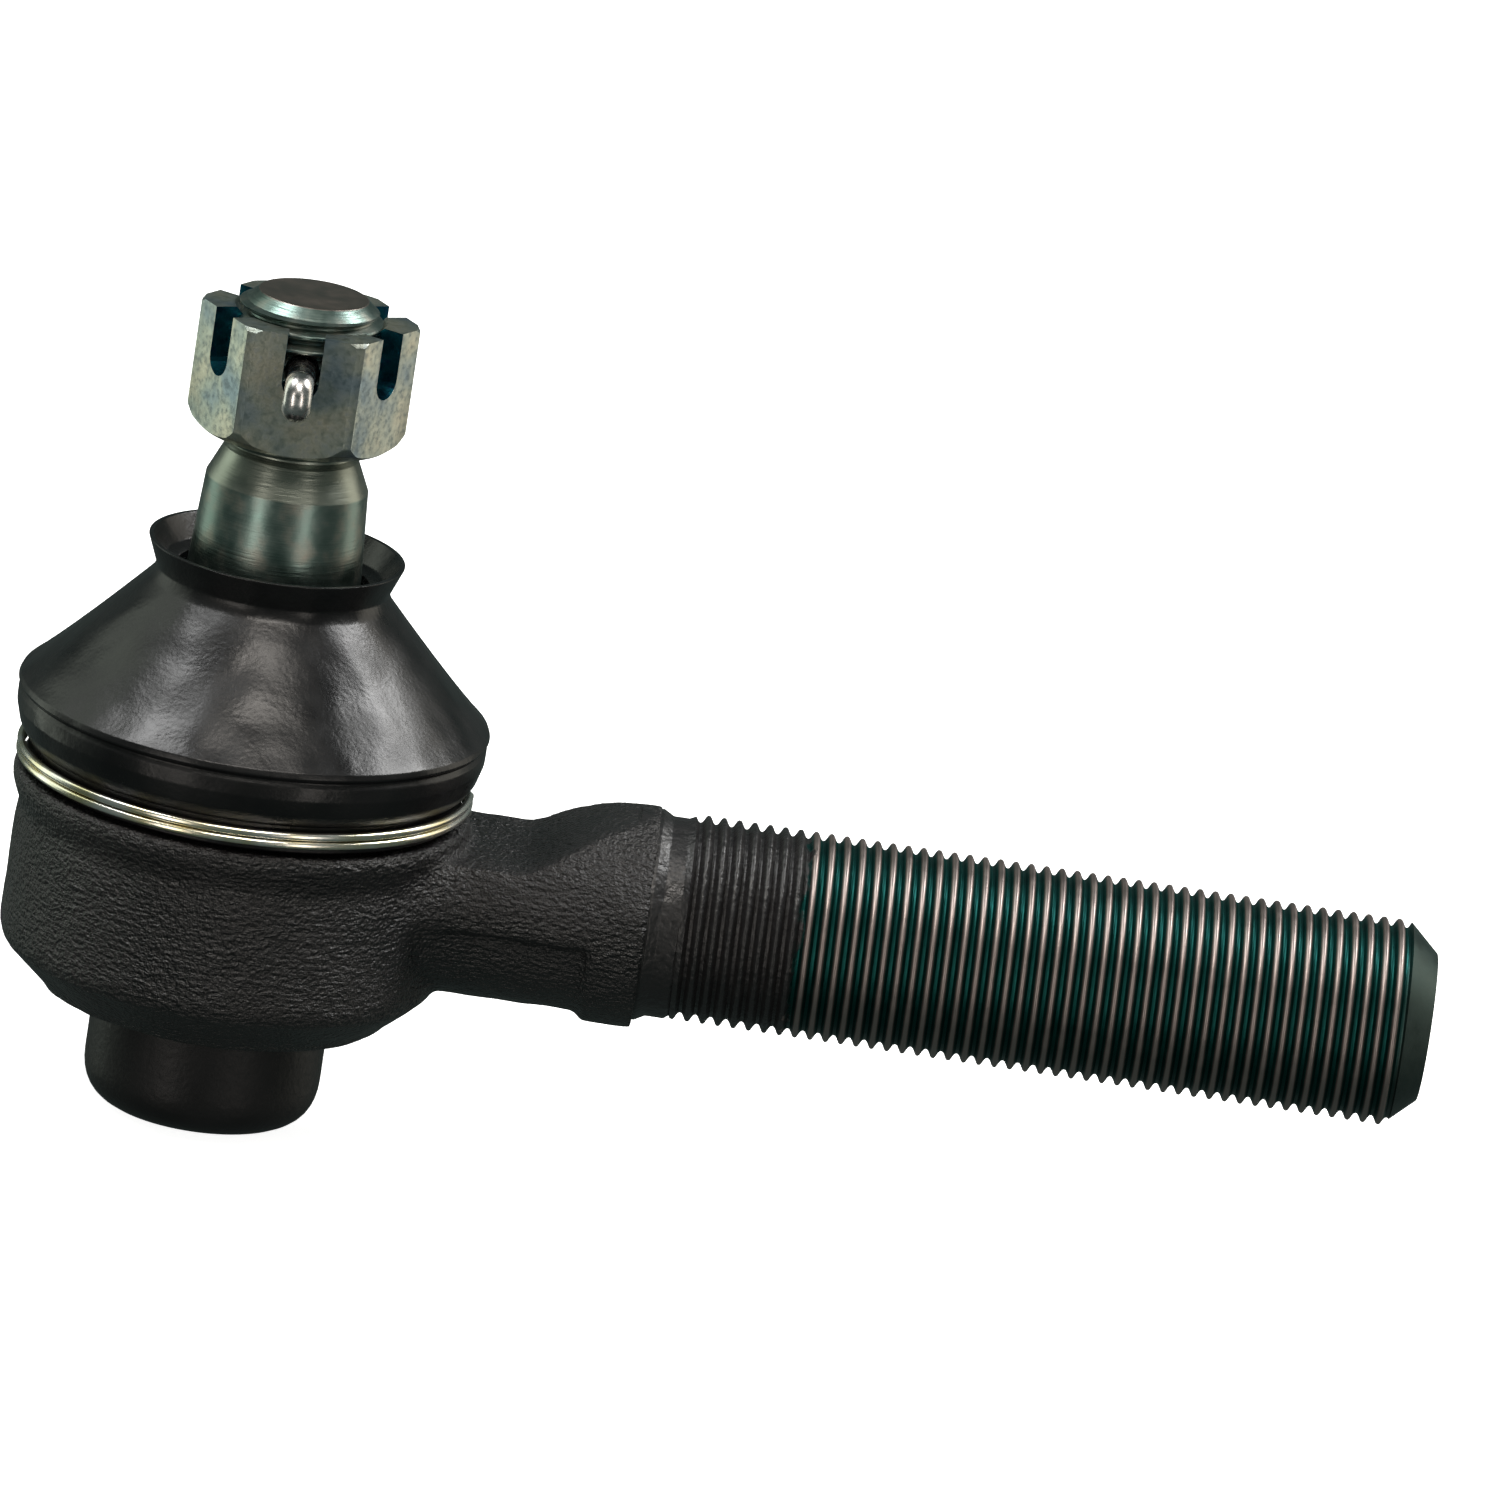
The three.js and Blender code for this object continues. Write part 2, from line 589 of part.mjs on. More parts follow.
// ---------------------------------------------------------------- stud, nut and pin
function ballStud() {
  const neckDeg = THREE.MathUtils.radToDeg(Math.acos(NECK_RADIUS / BALL_RADIUS));
  const flatDeg = -THREE.MathUtils.radToDeg(Math.acos(BALL_FLAT_RADIUS / BALL_RADIUS));
  const flareStart = ballZ + NECK_LENGTH;
  const baseRadius = taperRadius(taperStart);
  const body = turned(
    [
      [0, ballZ + BALL_RADIUS * Math.sin(rad(flatDeg))],
      ...arc(0, ballZ, BALL_RADIUS, flatDeg, neckDeg, 2 * ARC_STEPS + 2),
      [NECK_RADIUS, flareStart],
      [NECK_RADIUS + 0.35 * (baseRadius - NECK_RADIUS), flareStart + 0.6 * FLARE_LENGTH],
      [baseRadius - 0.4, taperStart - 0.5],
      [baseRadius, taperStart],
      [taperSmallRadius, taperEnd],
      [STUD_THREAD_RADIUS - 0.5, threadStart],
      [STUD_THREAD_RADIUS - 0.92, threadStart + 0.5],
      [0, threadStart + 0.5],
    ],
    SMALL_ROUND,
  );
  const envelope = turned(
    [
      [0, threadStart],
      [STUD_THREAD_RADIUS + 0.05, threadStart],
      [STUD_THREAD_RADIUS + 0.05, studEnd - STUD_END_CHAMFER],
      [STUD_THREAD_RADIUS - STUD_END_STEP, studEnd],
      [0, studEnd],
    ],
    THREAD_SIDES,
  );
  const rod = threadedRod(STUD_THREAD_RADIUS, STUD_PITCH, threadStart, studEnd);
  const hole = new THREE.CylinderGeometry(pinHoleRadius, pinHoleRadius, 4 * STUD_THREAD_RADIUS, 12);
  hole.translate(0, 0, pinZ);
  const thread = toSolid(rod).intersect(toSolid(envelope));
  return toGeometry(toSolid(body).add(thread).subtract(toSolid(hole)));
}

// Plain slotted hexagon nut: bearing face chamfered at 30 degrees, a slot through each flat.
function castleNut() {
  const cornerRadius = (2 * nutFlat) / Math.sqrt(3);
  const hexagon = new THREE.CylinderGeometry(cornerRadius, cornerRadius, NUT_HEIGHT, 6);
  hexagon.rotateX(Math.PI / 2).rotateZ(Math.PI / 6);
  hexagon.translate(0, 0, nutBottom + NUT_HEIGHT / 2);
  const corner = cornerRadius - NUT_CORNER_ROUNDING;
  const chamfered = turned(
    [
      [0, nutBottom],
      [nutFlat - 0.2, nutBottom],
      [corner - 0.5, nutBottom + 0.7],
      [corner, nutBottom + 1.6],
      [corner, nutTop - 0.5],
      [corner - 0.6, nutTop],
      [0, nutTop],
    ],
    ROUND,
  );
  let nut = toSolid(hexagon).intersect(toSolid(chamfered));
  const boreRod = threadedRod(
    STUD_THREAD_RADIUS + THREAD_CLEARANCE,
    STUD_PITCH,
    threadStart,
    studEnd,
  );
  const countersink = turned(
    [
      [0, nutBottom - 1],
      [STUD_THREAD_RADIUS + 1.4, nutBottom - 1],
      [STUD_THREAD_RADIUS - 1, nutBottom + 1.4],
      [0, nutBottom + 1.4],
    ],
    SMALL_ROUND,
  );
  nut = nut.subtract(toSolid(boreRod)).subtract(toSolid(countersink));
  const slot = new THREE.Shape();
  const half = nutSlotWidth / 2;
  slot.moveTo(-half, nutTop + 1);
  slot.lineTo(-half, nutTop - NUT_SLOT_DEPTH + half);
  slot.absarc(0, nutTop - NUT_SLOT_DEPTH + half, half, Math.PI, 2 * Math.PI, false);
  slot.lineTo(half, nutTop + 1);
  for (let i = 0; i < 3; i++) {
    const cutter = new THREE.ExtrudeGeometry(slot, {
      depth: 4 * nutFlat,
      curveSegments: 6,
      bevelEnabled: false,
    });
    cutter.translate(0, 0, -2 * nutFlat).rotateX(Math.PI / 2).rotateZ((i * Math.PI) / 3);
    nut = nut.subtract(toSolid(cutter));
  }
  return toGeometry(nut);
}

// Split pin of half-round wire: the eye hangs in front of the nut, the legs leave at the back and
// spread apart. The curve is the flat side of the wire.
function splitPin() {
  const eyeY = -(nutFlat + PIN_WIRE_THICKNESS + PIN_EYE_RADIUS + GAP);
  const eyeZ = pinZ - PIN_EYE_DROP;
  const tipY = nutFlat + PIN_TAIL;
  const side = (sign) => [
    [tipY, pinZ + sign * PIN_LEG_SPREAD],
    [nutFlat + 1.5, pinZ + sign * 0.35 * PIN_LEG_SPREAD],
    [nutFlat - 2, pinZ + sign * (PIN_LEG_GAP + 0.1)],
    [0, pinZ + sign * PIN_LEG_GAP],
    [-nutFlat + 2.5, pinZ - 0.05 * PIN_EYE_DROP + sign * PIN_LEG_GAP],
    [eyeY + PIN_EYE_RADIUS + 0.7, eyeZ + sign * (PIN_LEG_GAP + 0.25) + 0.25],
  ];
  const eye = [-55, -100, -140, 180, 140, 100, 55].map((deg) => [
    eyeY + PIN_EYE_RADIUS * Math.cos(rad(deg)),
    eyeZ + PIN_EYE_RADIUS * Math.sin(rad(deg)),
  ]);
  const route = [...side(-1), ...eye, ...side(1).reverse()];
  const curve = new THREE.CatmullRomCurve3(route.map(([y, z]) => new THREE.Vector3(0, y, z)));
  curve.curveType = "centripetal";
  const section = new THREE.Shape();
  section.moveTo(-PIN_HALF_WIDTH, 0);
  section.lineTo(PIN_HALF_WIDTH, 0);
  section.absellipse(0, 0, PIN_HALF_WIDTH, PIN_WIRE_THICKNESS, 0, Math.PI, false);
  return new THREE.ExtrudeGeometry(section, {
    extrudePath: curve,
    steps: 52,
    curveSegments: 2,
    bevelEnabled: false,
  });
}

// ---------------------------------------------------------------- assembly
const finishes = {
  forging: { color: 0x1c1b1c, roughness: 0.7, metalness: 0.3 },
  stud: { color: 0x6f7a76, roughness: 0.35, metalness: 0.9 },
  zinc: { color: 0xaab0a2, roughness: 0.35, metalness: 0.9 },
  wire: { color: 0xd8d4c4, roughness: 0.25, metalness: 1 },
  spring: { color: 0x8c8f92, roughness: 0.4, metalness: 0.9 },
  drawn: { color: 0x18181a, roughness: 0.45, metalness: 0.3 },
  resin: { color: 0xe6dfc8, roughness: 0.5, metalness: 0 },
  rubber: { color: 0x1e1e20, roughness: 0.6, metalness: 0 },
  sealRubber: { color: 0x3a3230, roughness: 0.7, metalness: 0 },
};

function piece(name, geometry, finish) {
  const mesh = new THREE.Mesh(geometry, new THREE.MeshStandardMaterial(finishes[finish]));
  mesh.name = name;
  return mesh;
}

const housingGroup = new THREE.Group();
housingGroup.add(
  piece("housing", housing(), "forging"),
  piece("upper_ball_race", upperBallRace(), "resin"),
  piece("pressure_cup", pressureCup(), "resin"),
  piece("seat_spring", seatSpring(), "spring"),
  piece("end_cover", endCover(), "drawn"),
  piece("cover_seal", coverSeal(), "sealRubber"),
  piece("dust_boot", dustBoot(), "rubber"),
  piece("boot_clamp_ring", bootClampRing(), "wire"),
);

const raceGroup = new THREE.Group();
raceGroup.add(piece("lower_ball_race", lowerBallRace(), "resin"));

const neckGroup = new THREE.Group();
neckGroup.add(piece("boot_neck_ring", bootNeckRing(), "spring"));

const studGroup = new THREE.Group();
studGroup.add(
  piece("ball_stud", ballStud(), "stud"),
  piece("castle_nut", castleNut(), "zinc"),
  piece("split_pin", splitPin(), "zinc"),
);

const tieRodEnd = new THREE.Group();
tieRodEnd.add(housingGroup, raceGroup, neckGroup, studGroup);

export default tieRodEnd;
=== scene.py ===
import math

import bpy
from mathutils import Matrix, Vector
from mathutils.geometry import interpolate_bezier


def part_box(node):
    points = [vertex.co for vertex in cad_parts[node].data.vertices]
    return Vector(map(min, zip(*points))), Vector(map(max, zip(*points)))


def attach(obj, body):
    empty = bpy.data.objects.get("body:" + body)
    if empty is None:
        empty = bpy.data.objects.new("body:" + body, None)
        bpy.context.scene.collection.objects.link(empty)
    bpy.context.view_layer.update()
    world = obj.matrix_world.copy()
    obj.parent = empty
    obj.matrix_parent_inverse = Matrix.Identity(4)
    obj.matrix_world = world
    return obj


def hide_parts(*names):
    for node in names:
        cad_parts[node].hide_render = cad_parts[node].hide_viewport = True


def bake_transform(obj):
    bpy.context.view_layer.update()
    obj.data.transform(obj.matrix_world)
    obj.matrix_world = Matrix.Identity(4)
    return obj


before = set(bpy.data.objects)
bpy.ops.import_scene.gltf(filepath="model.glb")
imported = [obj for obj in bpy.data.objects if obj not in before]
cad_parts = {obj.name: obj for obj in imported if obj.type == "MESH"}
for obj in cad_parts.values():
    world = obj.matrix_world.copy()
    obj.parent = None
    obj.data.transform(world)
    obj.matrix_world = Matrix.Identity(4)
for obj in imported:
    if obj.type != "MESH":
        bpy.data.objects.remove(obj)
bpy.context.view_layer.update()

# ------------------------------------------------------------------ camera
# A long lens looks down on the part from in front. It is rolled a little, so that the shank
# falls away to the right.
MM = 0.001
AZIMUTH = math.radians(-1.233)
ELEVATION = math.radians(16.633)
ROLL = math.radians(8.84)
DISTANCE = 1.4606
LENS = 364.3
SHIFT_RIGHT = 7.23
SHIFT_UP = 0.13
back = Vector((
    math.sin(AZIMUTH) * math.cos(ELEVATION),
    -math.cos(AZIMUTH) * math.cos(ELEVATION),
    math.sin(ELEVATION),
))
right = Vector((math.cos(AZIMUTH), math.sin(AZIMUTH), 0))
up = back.cross(right)
aim = Vector((55, 0, 44)) * MM - SHIFT_RIGHT * MM * right - SHIFT_UP * MM * up
camera_data = bpy.data.cameras.new("product_camera")
camera_data.sensor_width = 36
camera_data.lens = LENS
camera_data.clip_start = 0.01
camera = bpy.data.objects.new("product_camera", camera_data)
bpy.context.scene.collection.objects.link(camera)
turned_right = math.cos(ROLL) * right + math.sin(ROLL) * up
turned_up = -math.sin(ROLL) * right + math.cos(ROLL) * up
camera.rotation_mode = "QUATERNION"
camera.rotation_quaternion = Matrix((turned_right, turned_up, back)).transposed().to_quaternion()
camera.location = aim + DISTANCE * back
bpy.context.scene.camera = camera

# ------------------------------------------------------------------ forged housing
# The ball housing and the bar of the shank are one steel drop forging, bored from below and
# painted black. Its hammered skin keeps a coarse grain.
housing_low, housing_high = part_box("housing")
stud_low, stud_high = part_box("ball_stud")
WELD = 0.002 * MM
BALL_FLAT = 11.843
BALL_Z = (stud_low.z + BALL_FLAT * MM) / MM
LIP_RADIUS = housing_high.y / MM
BODY_RADIUS = LIP_RADIUS - 0.7
GROOVE_RADIUS = BODY_RADIUS - 2.1
HOUSING_TOP = housing_high.z / MM
LIP_TOP = HOUSING_TOP - 5.2
CRIMP_BOTTOM = housing_low.z / MM
BORE_RADIUS = BODY_RADIUS - 6.8
BAR_RADIUS = 10.8
BAR_END = BODY_RADIUS + 18.9
BAR_START = BORE_RADIUS + 1.7
BAR_Z = BALL_Z - 0.6
SEAT_Z = BALL_Z - 10.791
ROOT_FILLET = 10
FILLET_END = math.sqrt((BODY_RADIUS + ROOT_FILLET) ** 2 - (BAR_RADIUS + ROOT_FILLET) ** 2)


def select_only(*objects):
    bpy.ops.object.select_all(action="DESELECT")
    for item in objects:
        item.select_set(True)
    bpy.context.view_layer.objects.active = objects[0]


def chain(name, points):
    """Draws a line of edges through (x, z) points in millimetres and leaves it in edit mode."""
    bpy.ops.object.select_all(action="DESELECT")
    x, z = points[0]
    bpy.ops.mesh.primitive_plane_add(size=MM, location=(x * MM, 0, z * MM))
    drawn = bpy.context.object
    drawn.name = name
    drawn.data.name = name
    bpy.ops.object.mode_set(mode="EDIT")
    bpy.ops.mesh.select_all(action="SELECT")
    bpy.ops.mesh.merge(type="CENTER")
    for (x0, z0), (x1, z1) in zip(points, points[1:]):
        step = ((x1 - x0) * MM, 0, (z1 - z0) * MM)
        bpy.ops.mesh.extrude_vertices_move(TRANSFORM_OT_translate={"value": step})
    bpy.ops.mesh.select_all(action="SELECT")
    return drawn


def apply_place(piece):
    """Puts the piece's place and turn in its mesh."""
    select_only(piece)
    bpy.ops.object.transform_apply(location=True, rotation=True, scale=True)


def settle(piece):
    """Leaves edit mode, merges doubles, turns faces outwards and puts the place in the mesh."""
    if bpy.context.mode == "OBJECT":
        bpy.ops.object.mode_set(mode="EDIT")
    bpy.ops.mesh.select_all(action="SELECT")
    bpy.ops.mesh.remove_doubles(threshold=WELD)
    bpy.ops.mesh.normals_make_consistent(inside=False)
    bpy.ops.object.mode_set(mode="OBJECT")
    apply_place(piece)


def turned(name, outline, steps=144):
    """A turned piece: the outline is (radius, height) points, spun about the stud's axis."""
    piece = chain(name, outline)
    bpy.ops.mesh.spin(steps=steps, angle=2 * math.pi, center=(0, 0, 0), axis=(0, 0, 1))
    settle(piece)
    return piece


def prism(name, outline, width):
    """A prism along y, of that width about the middle: its closed outline is (x, z) points."""
    made = chain(name, outline)
    bpy.ops.mesh.remove_doubles(threshold=WELD)
    bpy.ops.mesh.edge_face_add()
    bpy.ops.transform.translate(value=(0, -width / 2 * MM, 0))
    bpy.ops.mesh.extrude_region_move(TRANSFORM_OT_translate={"value": (0, width * MM, 0)})
    settle(made)
    return made


def rounded(corners, steps=4):
    """Rounds each (radius, height, fillet) corner of an outline."""
    points = []
    for i, (x, z, fillet) in enumerate(corners):
        corner = Vector((x, z))
        if fillet == 0 or i in (0, len(corners) - 1):
            points.append((x, z))
            continue
        before = Vector(corners[i - 1][:2]) - corner
        after = Vector(corners[i + 1][:2]) - corner
        reach = min(
            fillet / math.tan(before.angle(after) / 2),
            0.48 * before.length,
            0.48 * after.length,
        )
        start = corner + before.normalized() * reach
        end = corner + after.normalized() * reach
        for k in range(steps + 1):
            t = k / steps
            point = (1 - t) ** 2 * start + 2 * t * (1 - t) * corner + t * t * end
            points.append((point.x, point.y))
    return points


def arc(middle, radius, start, end, steps):
    """Points on a circle about (0, middle), by degrees above the horizontal."""
    angles = [math.radians(start + (end - start) * i / steps) for i in range(steps + 1)]
    return [(radius * math.cos(a), middle + radius * math.sin(a)) for a in angles]


def modify(piece, kind, **settings):
    """Adds a modifier with its settings and applies it."""
    select_only(piece)
    bpy.ops.object.modifier_add(type=kind)
    modifier = piece.modifiers[-1]
    for key, value in settings.items():
        setattr(modifier, key, value)
    bpy.ops.object.modifier_apply(modifier=modifier.name)


def combine(piece, other, operation):
    """Joins to, or cuts from, the piece the other one, and takes the other one away."""
    modify(piece, "BOOLEAN", object=other, operation=operation, solver="EXACT")
    bpy.data.objects.remove(other)


def volume(mesh):
    """The volume inside a mesh in cubic millimetres."""
    mesh.calc_loop_triangles()
    corners = [
        [mesh.vertices[index].co / MM for index in face.vertices] for face in mesh.loop_triangles
    ]
    return sum(a.dot(b.cross(c)) for a, b, c in corners) / 6


def keeps_volume(piece, *names):
    """Stops the script if a piece has lost more than a quarter of its CAD nodes' volume."""
    wanted = sum(volume(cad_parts[name].data) for name in names)
    found = volume(piece.data)
    if abs(found - wanted) > 0.25 * wanted:
        raise RuntimeError(f"{piece.name} has {found:.0f} mm3 where the frame has {wanted:.0f}")


def choose(piece, wanted):
    """Selects the faces whose middle, in millimetres, is wanted."""
    for face in piece.data.polygons:
        face.select = wanted(face.center / MM)
    for edge in piece.data.edges:
        edge.select = False
    for vertex in piece.data.vertices:
        vertex.select = False
    for face in piece.data.polygons:
        if face.select:
            for index in face.vertices:
                piece.data.vertices[index].select = True


cup = turned(
    "forged_housing",
    rounded([
        (12.2, CRIMP_BOTTOM, 0),
        (16.9, CRIMP_BOTTOM, 0.3),
        (17.38, CRIMP_BOTTOM + 0.7, 0.3),
        (21.08, CRIMP_BOTTOM + 4.1, 1.2),
        (BODY_RADIUS, CRIMP_BOTTOM + 5.3, 0.8),
        (BODY_RADIUS - 0.1, LIP_TOP - 5.6, 0.8),
        (BODY_RADIUS - 0.3, LIP_TOP - 3.8, 1.8),
        (LIP_RADIUS, LIP_TOP - 1.4, 1.0),
        (LIP_RADIUS, LIP_TOP - 0.2, 0.3),
        (LIP_RADIUS - 0.4, LIP_TOP, 0.2),
        (GROOVE_RADIUS, LIP_TOP, 0.3),
        (GROOVE_RADIUS, HOUSING_TOP - 1.8, 0.3),
        (GROOVE_RADIUS + 0.6, HOUSING_TOP - 1.5, 0.2),
        (GROOVE_RADIUS + 0.6, HOUSING_TOP - 0.5, 0.3),
        (GROOVE_RADIUS - 0.2, HOUSING_TOP, 0.3),
        (12.74, HOUSING_TOP, 0.5),
        *[(x, z, 0) for x, z in arc(BALL_Z, BORE_RADIUS, 38, 0, 12)],
        (BORE_RADIUS, SEAT_Z, 0.2),
        (16.08, SEAT_Z, 0.2),
        (16.08, CRIMP_BOTTOM + 0.9, 0.2),
        (12.2, CRIMP_BOTTOM + 0.9, 0.2),
        (12.2, CRIMP_BOTTOM, 0),
    ]),
    steps=120,
)

bpy.ops.object.select_all(action="DESELECT")
bpy.ops.mesh.primitive_circle_add(
    vertices=72,
    radius=BAR_RADIUS * MM,
    fill_type="NGON",
    location=(BAR_END * MM, 0, BAR_Z * MM),
    rotation=(0, math.pi / 2, 0),
)
bar = bpy.context.object
bar.name = "shank_bar"
bpy.ops.object.mode_set(mode="EDIT")
bpy.ops.mesh.select_all(action="SELECT")


def bar_width(x):
    """Half the bar's width at x: its radius, then a fillet that spreads into the housing."""
    into_fillet = max(0, FILLET_END - x)
    return BAR_RADIUS + ROOT_FILLET - math.sqrt(ROOT_FILLET ** 2 - into_fillet ** 2)


sections = [BAR_END, 37, 34, 31, 28, 25.5, FILLET_END]
sections += [FILLET_END + (BAR_START - FILLET_END) * k / 8 for k in range(1, 9)]
for x, next_x in zip(sections, sections[1:]):
    bpy.ops.mesh.extrude_region_move(TRANSFORM_OT_translate={"value": ((next_x - x) * MM, 0, 0)})
    wider = bar_width(next_x) / bar_width(x)
    bpy.ops.transform.resize(value=(1, wider, 1 + 0.25 * (wider - 1)))
settle(bar)

# The die leaves a crease along the bar's side: under it the bar is narrower and its belly higher.
bpy.ops.object.mode_set(mode="EDIT")
bpy.ops.mesh.subdivide(number_cuts=3)
bpy.ops.mesh.select_all(action="DESELECT")
bpy.ops.object.mode_set(mode="OBJECT")
for reach in (35, 34, 33, 32, 31):
    for vertex in bar.data.vertices:
        vertex.select = vertex.co.x / MM < reach and vertex.co.z / MM < BALL_Z - 1.7
    bpy.ops.object.mode_set(mode="EDIT")
    bpy.ops.transform.resize(
        value=(1, 0.985, 0.985),
        center_override=(BAR_END * MM, 0, BAR_Z * MM),
    )
    bpy.ops.object.mode_set(mode="OBJECT")

SCOOP_Z = BALL_Z + 4.6
ramp = interpolate_bezier(
    (27.28, SCOOP_Z, 0), (30.2, SCOOP_Z, 0), (31.5, SCOOP_Z + 3.6, 0), (41, SCOOP_Z + 5.8, 0), 16
)
above = BALL_Z + 20
scoop = prism(
    "scoop",
    [(5, above), (5, SCOOP_Z), *[(point.x, point.y) for point in ramp], (41, above), (5, above)],
    width=50,
)
combine(bar, scoop, "DIFFERENCE")

bore_plug = turned(
    "bore_plug",
    [(0, BALL_Z - 30), (14.9, BALL_Z - 30), (14.9, BALL_Z + 5), (0, BALL_Z + 14)],
    steps=96,
)
combine(bar, bore_plug, "DIFFERENCE")
combine(cup, bar, "UNION")
modify(cup, "REMESH", mode="VOXEL", voxel_size=0.38 * MM)

# Where the fillet meets the round body it is blended; the rest is only eased.
choose(
    cup,
    lambda middle: 15.5 < middle.x < 21.5
    and CRIMP_BOTTOM + 4 < middle.z < LIP_TOP - 2
    and abs(middle.y) > 9,
)
bpy.ops.object.mode_set(mode="EDIT")
bpy.ops.mesh.vertices_smooth(factor=0.5, repeat=25)
bpy.ops.object.mode_set(mode="OBJECT")
modify(cup, "SMOOTH", factor=0.5, iterations=2)
waves = bpy.data.textures.new("hammered_skin", type="CLOUDS")
waves.noise_scale = 4.5 * MM
waves.noise_depth = 2
modify(cup, "DISPLACE", texture=waves, texture_coords="LOCAL", strength=0.28 * MM, mid_level=0.5)
select_only(cup)
bpy.ops.object.shade_smooth()


def linear(hex_colour):
    """An sRGB hex colour as linear red, green, blue and one."""
    channels = [int(hex_colour[i:i + 2], 16) / 255 for i in (1, 3, 5)]
    return [c / 12.92 if c < 0.04045 else ((c + 0.055) / 1.055) ** 2.4 for c in channels] + [1]


def node(tree, kind, links=None, values=None, **settings):
    """Adds one shader node with its settings, the values of its inputs and its links."""
    added = tree.nodes.new("ShaderNode" + kind)
    for key, value in settings.items():
        setattr(added, key, value)
    for key, value in (values or {}).items():
        added.inputs[key].default_value = value
    for key, source in (links or {}).items():
        tree.links.new(source, added.inputs[key])
    return added


def new_material(name):
    """An empty material with a Principled shader, its tree and its object coordinates."""
    made = bpy.data.materials.new(name)
    made.use_nodes = True
    tree = made.node_tree
    shader = tree.nodes["Principled BSDF"]
    place = node(tree, "TexCoord").outputs["Object"]
    return made, tree, shader, place


def colours(tree, factor, stops):
    """A colour ramp over a factor, from (position, hex colour) stops."""
    ramp_node = node(tree, "ValToRGB", {"Fac": factor})
    ramp_elements = ramp_node.color_ramp.elements
    for element in list(ramp_elements)[2:]:
        ramp_elements.remove(element)
    while len(ramp_elements) < len(stops):
        ramp_elements.new(0.5)
    for element, (position, hex_colour) in zip(ramp_elements, stops):
        element.position = position
        element.color = linear(hex_colour)
    return ramp_node.outputs["Color"]


def noise(tree, place, size, detail):
    """A soft noise whose features are about size millimetres across."""
    links = {"Vector": place}
    return node(tree, "TexNoise", links, {"Scale": 1 / (size * MM), "Detail": detail}).outputs["Fac"]


def between(tree, value, low, high, first, last):
    """Turns a value from low to high into one from first to last."""
    limits = {"From Min": low, "From Max": high, "To Min": first, "To Max": last}
    return node(tree, "MapRange", {"Value": value}, limits).outputs[0]


def mixed(tree, factor, first, second_hex):
    """Mixes a colour of the tree with a plain one."""
    values = {7: linear(second_hex)}
    return node(tree, "Mix", {0: factor, 6: first}, values, data_type="RGBA").outputs[2]


def relief(tree, shader, height, depth):
    """Bumps of that depth in millimetres."""
    bump = node(tree, "Bump", {"Height": height}, {"Distance": depth * MM})
    tree.links.new(bump.outputs["Normal"], shader.inputs["Normal"])


def paint_on_forging():
    # Thin black enamel on a shot-blasted forging: the grain under it, about 1.2 mm long and 0.4 mm
    # high, and finer pits break the gloss up.
    made, tree, shader, place = new_material("black_enamel_on_forged_steel")
    drawn_out = node(tree, "Mapping", {"Vector": place}, {"Scale": (0.55, 0.55, 1.5)}).outputs[0]
    grain = noise(tree, drawn_out, 0.65, 3)
    pits = noise(tree, place, 0.38, 2)
    patches = noise(tree, place, 9, 3)
    tree.links.new(
        colours(tree, patches, [(0.35, "#0a090a"), (0.62, "#141213")]),
        shader.inputs["Base Color"],
    )
    tree.links.new(between(tree, patches, 0.3, 0.7, 0.36, 0.48), shader.inputs["Roughness"])
    heights = node(tree, "Math", {0: grain, 1: pits}, operation="ADD").outputs[0]
    relief(tree, shader, heights, 0.42)
    return made


def give(piece, *finishes):
    """Takes off a piece's materials and gives it these."""
    piece.data.materials.clear()
    for finish in finishes:
        piece.data.materials.append(finish)


give(cup, paint_on_forging())
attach(cup, "housing")
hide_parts("housing")

# ------------------------------------------------------------------ threaded shank
# The shank is one with the forging: M20 x 1.5, rolled after the bar was turned, its roots and
# crests rounded. Enamel covers the collar and the first turns; the rest is bare, blackened in
# the valleys, with crests rubbed bright.
SHANK_RADIUS = 10
SHANK_END = housing_high.x / MM
SHANK_PITCH = 1.5
SHANK_THREAD_DEPTH = 0.78
SHANK_THREAD_START = 42
ENAMEL_END = 54.9


def thread(name, crest, root, pitch, start, end, steps):
    """A threaded rod about the stud's axis: one turn's outline, screwed up and cut at both ends."""
    flank = ((0, 0), (0.1, 0.07), (0.2, 0.32), (0.34, 0.82), (0.4, 0.95), (0.46, 1))
    shape = flank + tuple((1 - along, high) for along, high in reversed(flank))
    one_turn = [(root + (crest - root) * high, start + pitch * (along - 1)) for along, high in shape]
    rod = chain(name, one_turn)
    settle(rod)
    turns = math.ceil((end - start) / pitch) + 2
    modify(
        rod, "SCREW", steps=steps, render_steps=steps, angle=2 * math.pi, screw_offset=pitch * MM,
        iterations=turns, use_merge_vertices=True, merge_threshold=WELD,
    )
    for height, side in ((start, -1), (end, 1)):
        bpy.ops.object.mode_set(mode="EDIT")
        bpy.ops.mesh.select_all(action="SELECT")
        bpy.ops.mesh.bisect(
            plane_co=(0, 0, height * MM),
            plane_no=(0, 0, side),
            use_fill=True,
            clear_outer=True,
            threshold=0.0001 * MM,
        )
        bpy.ops.object.mode_set(mode="OBJECT")
    settle(rod)
    return rod


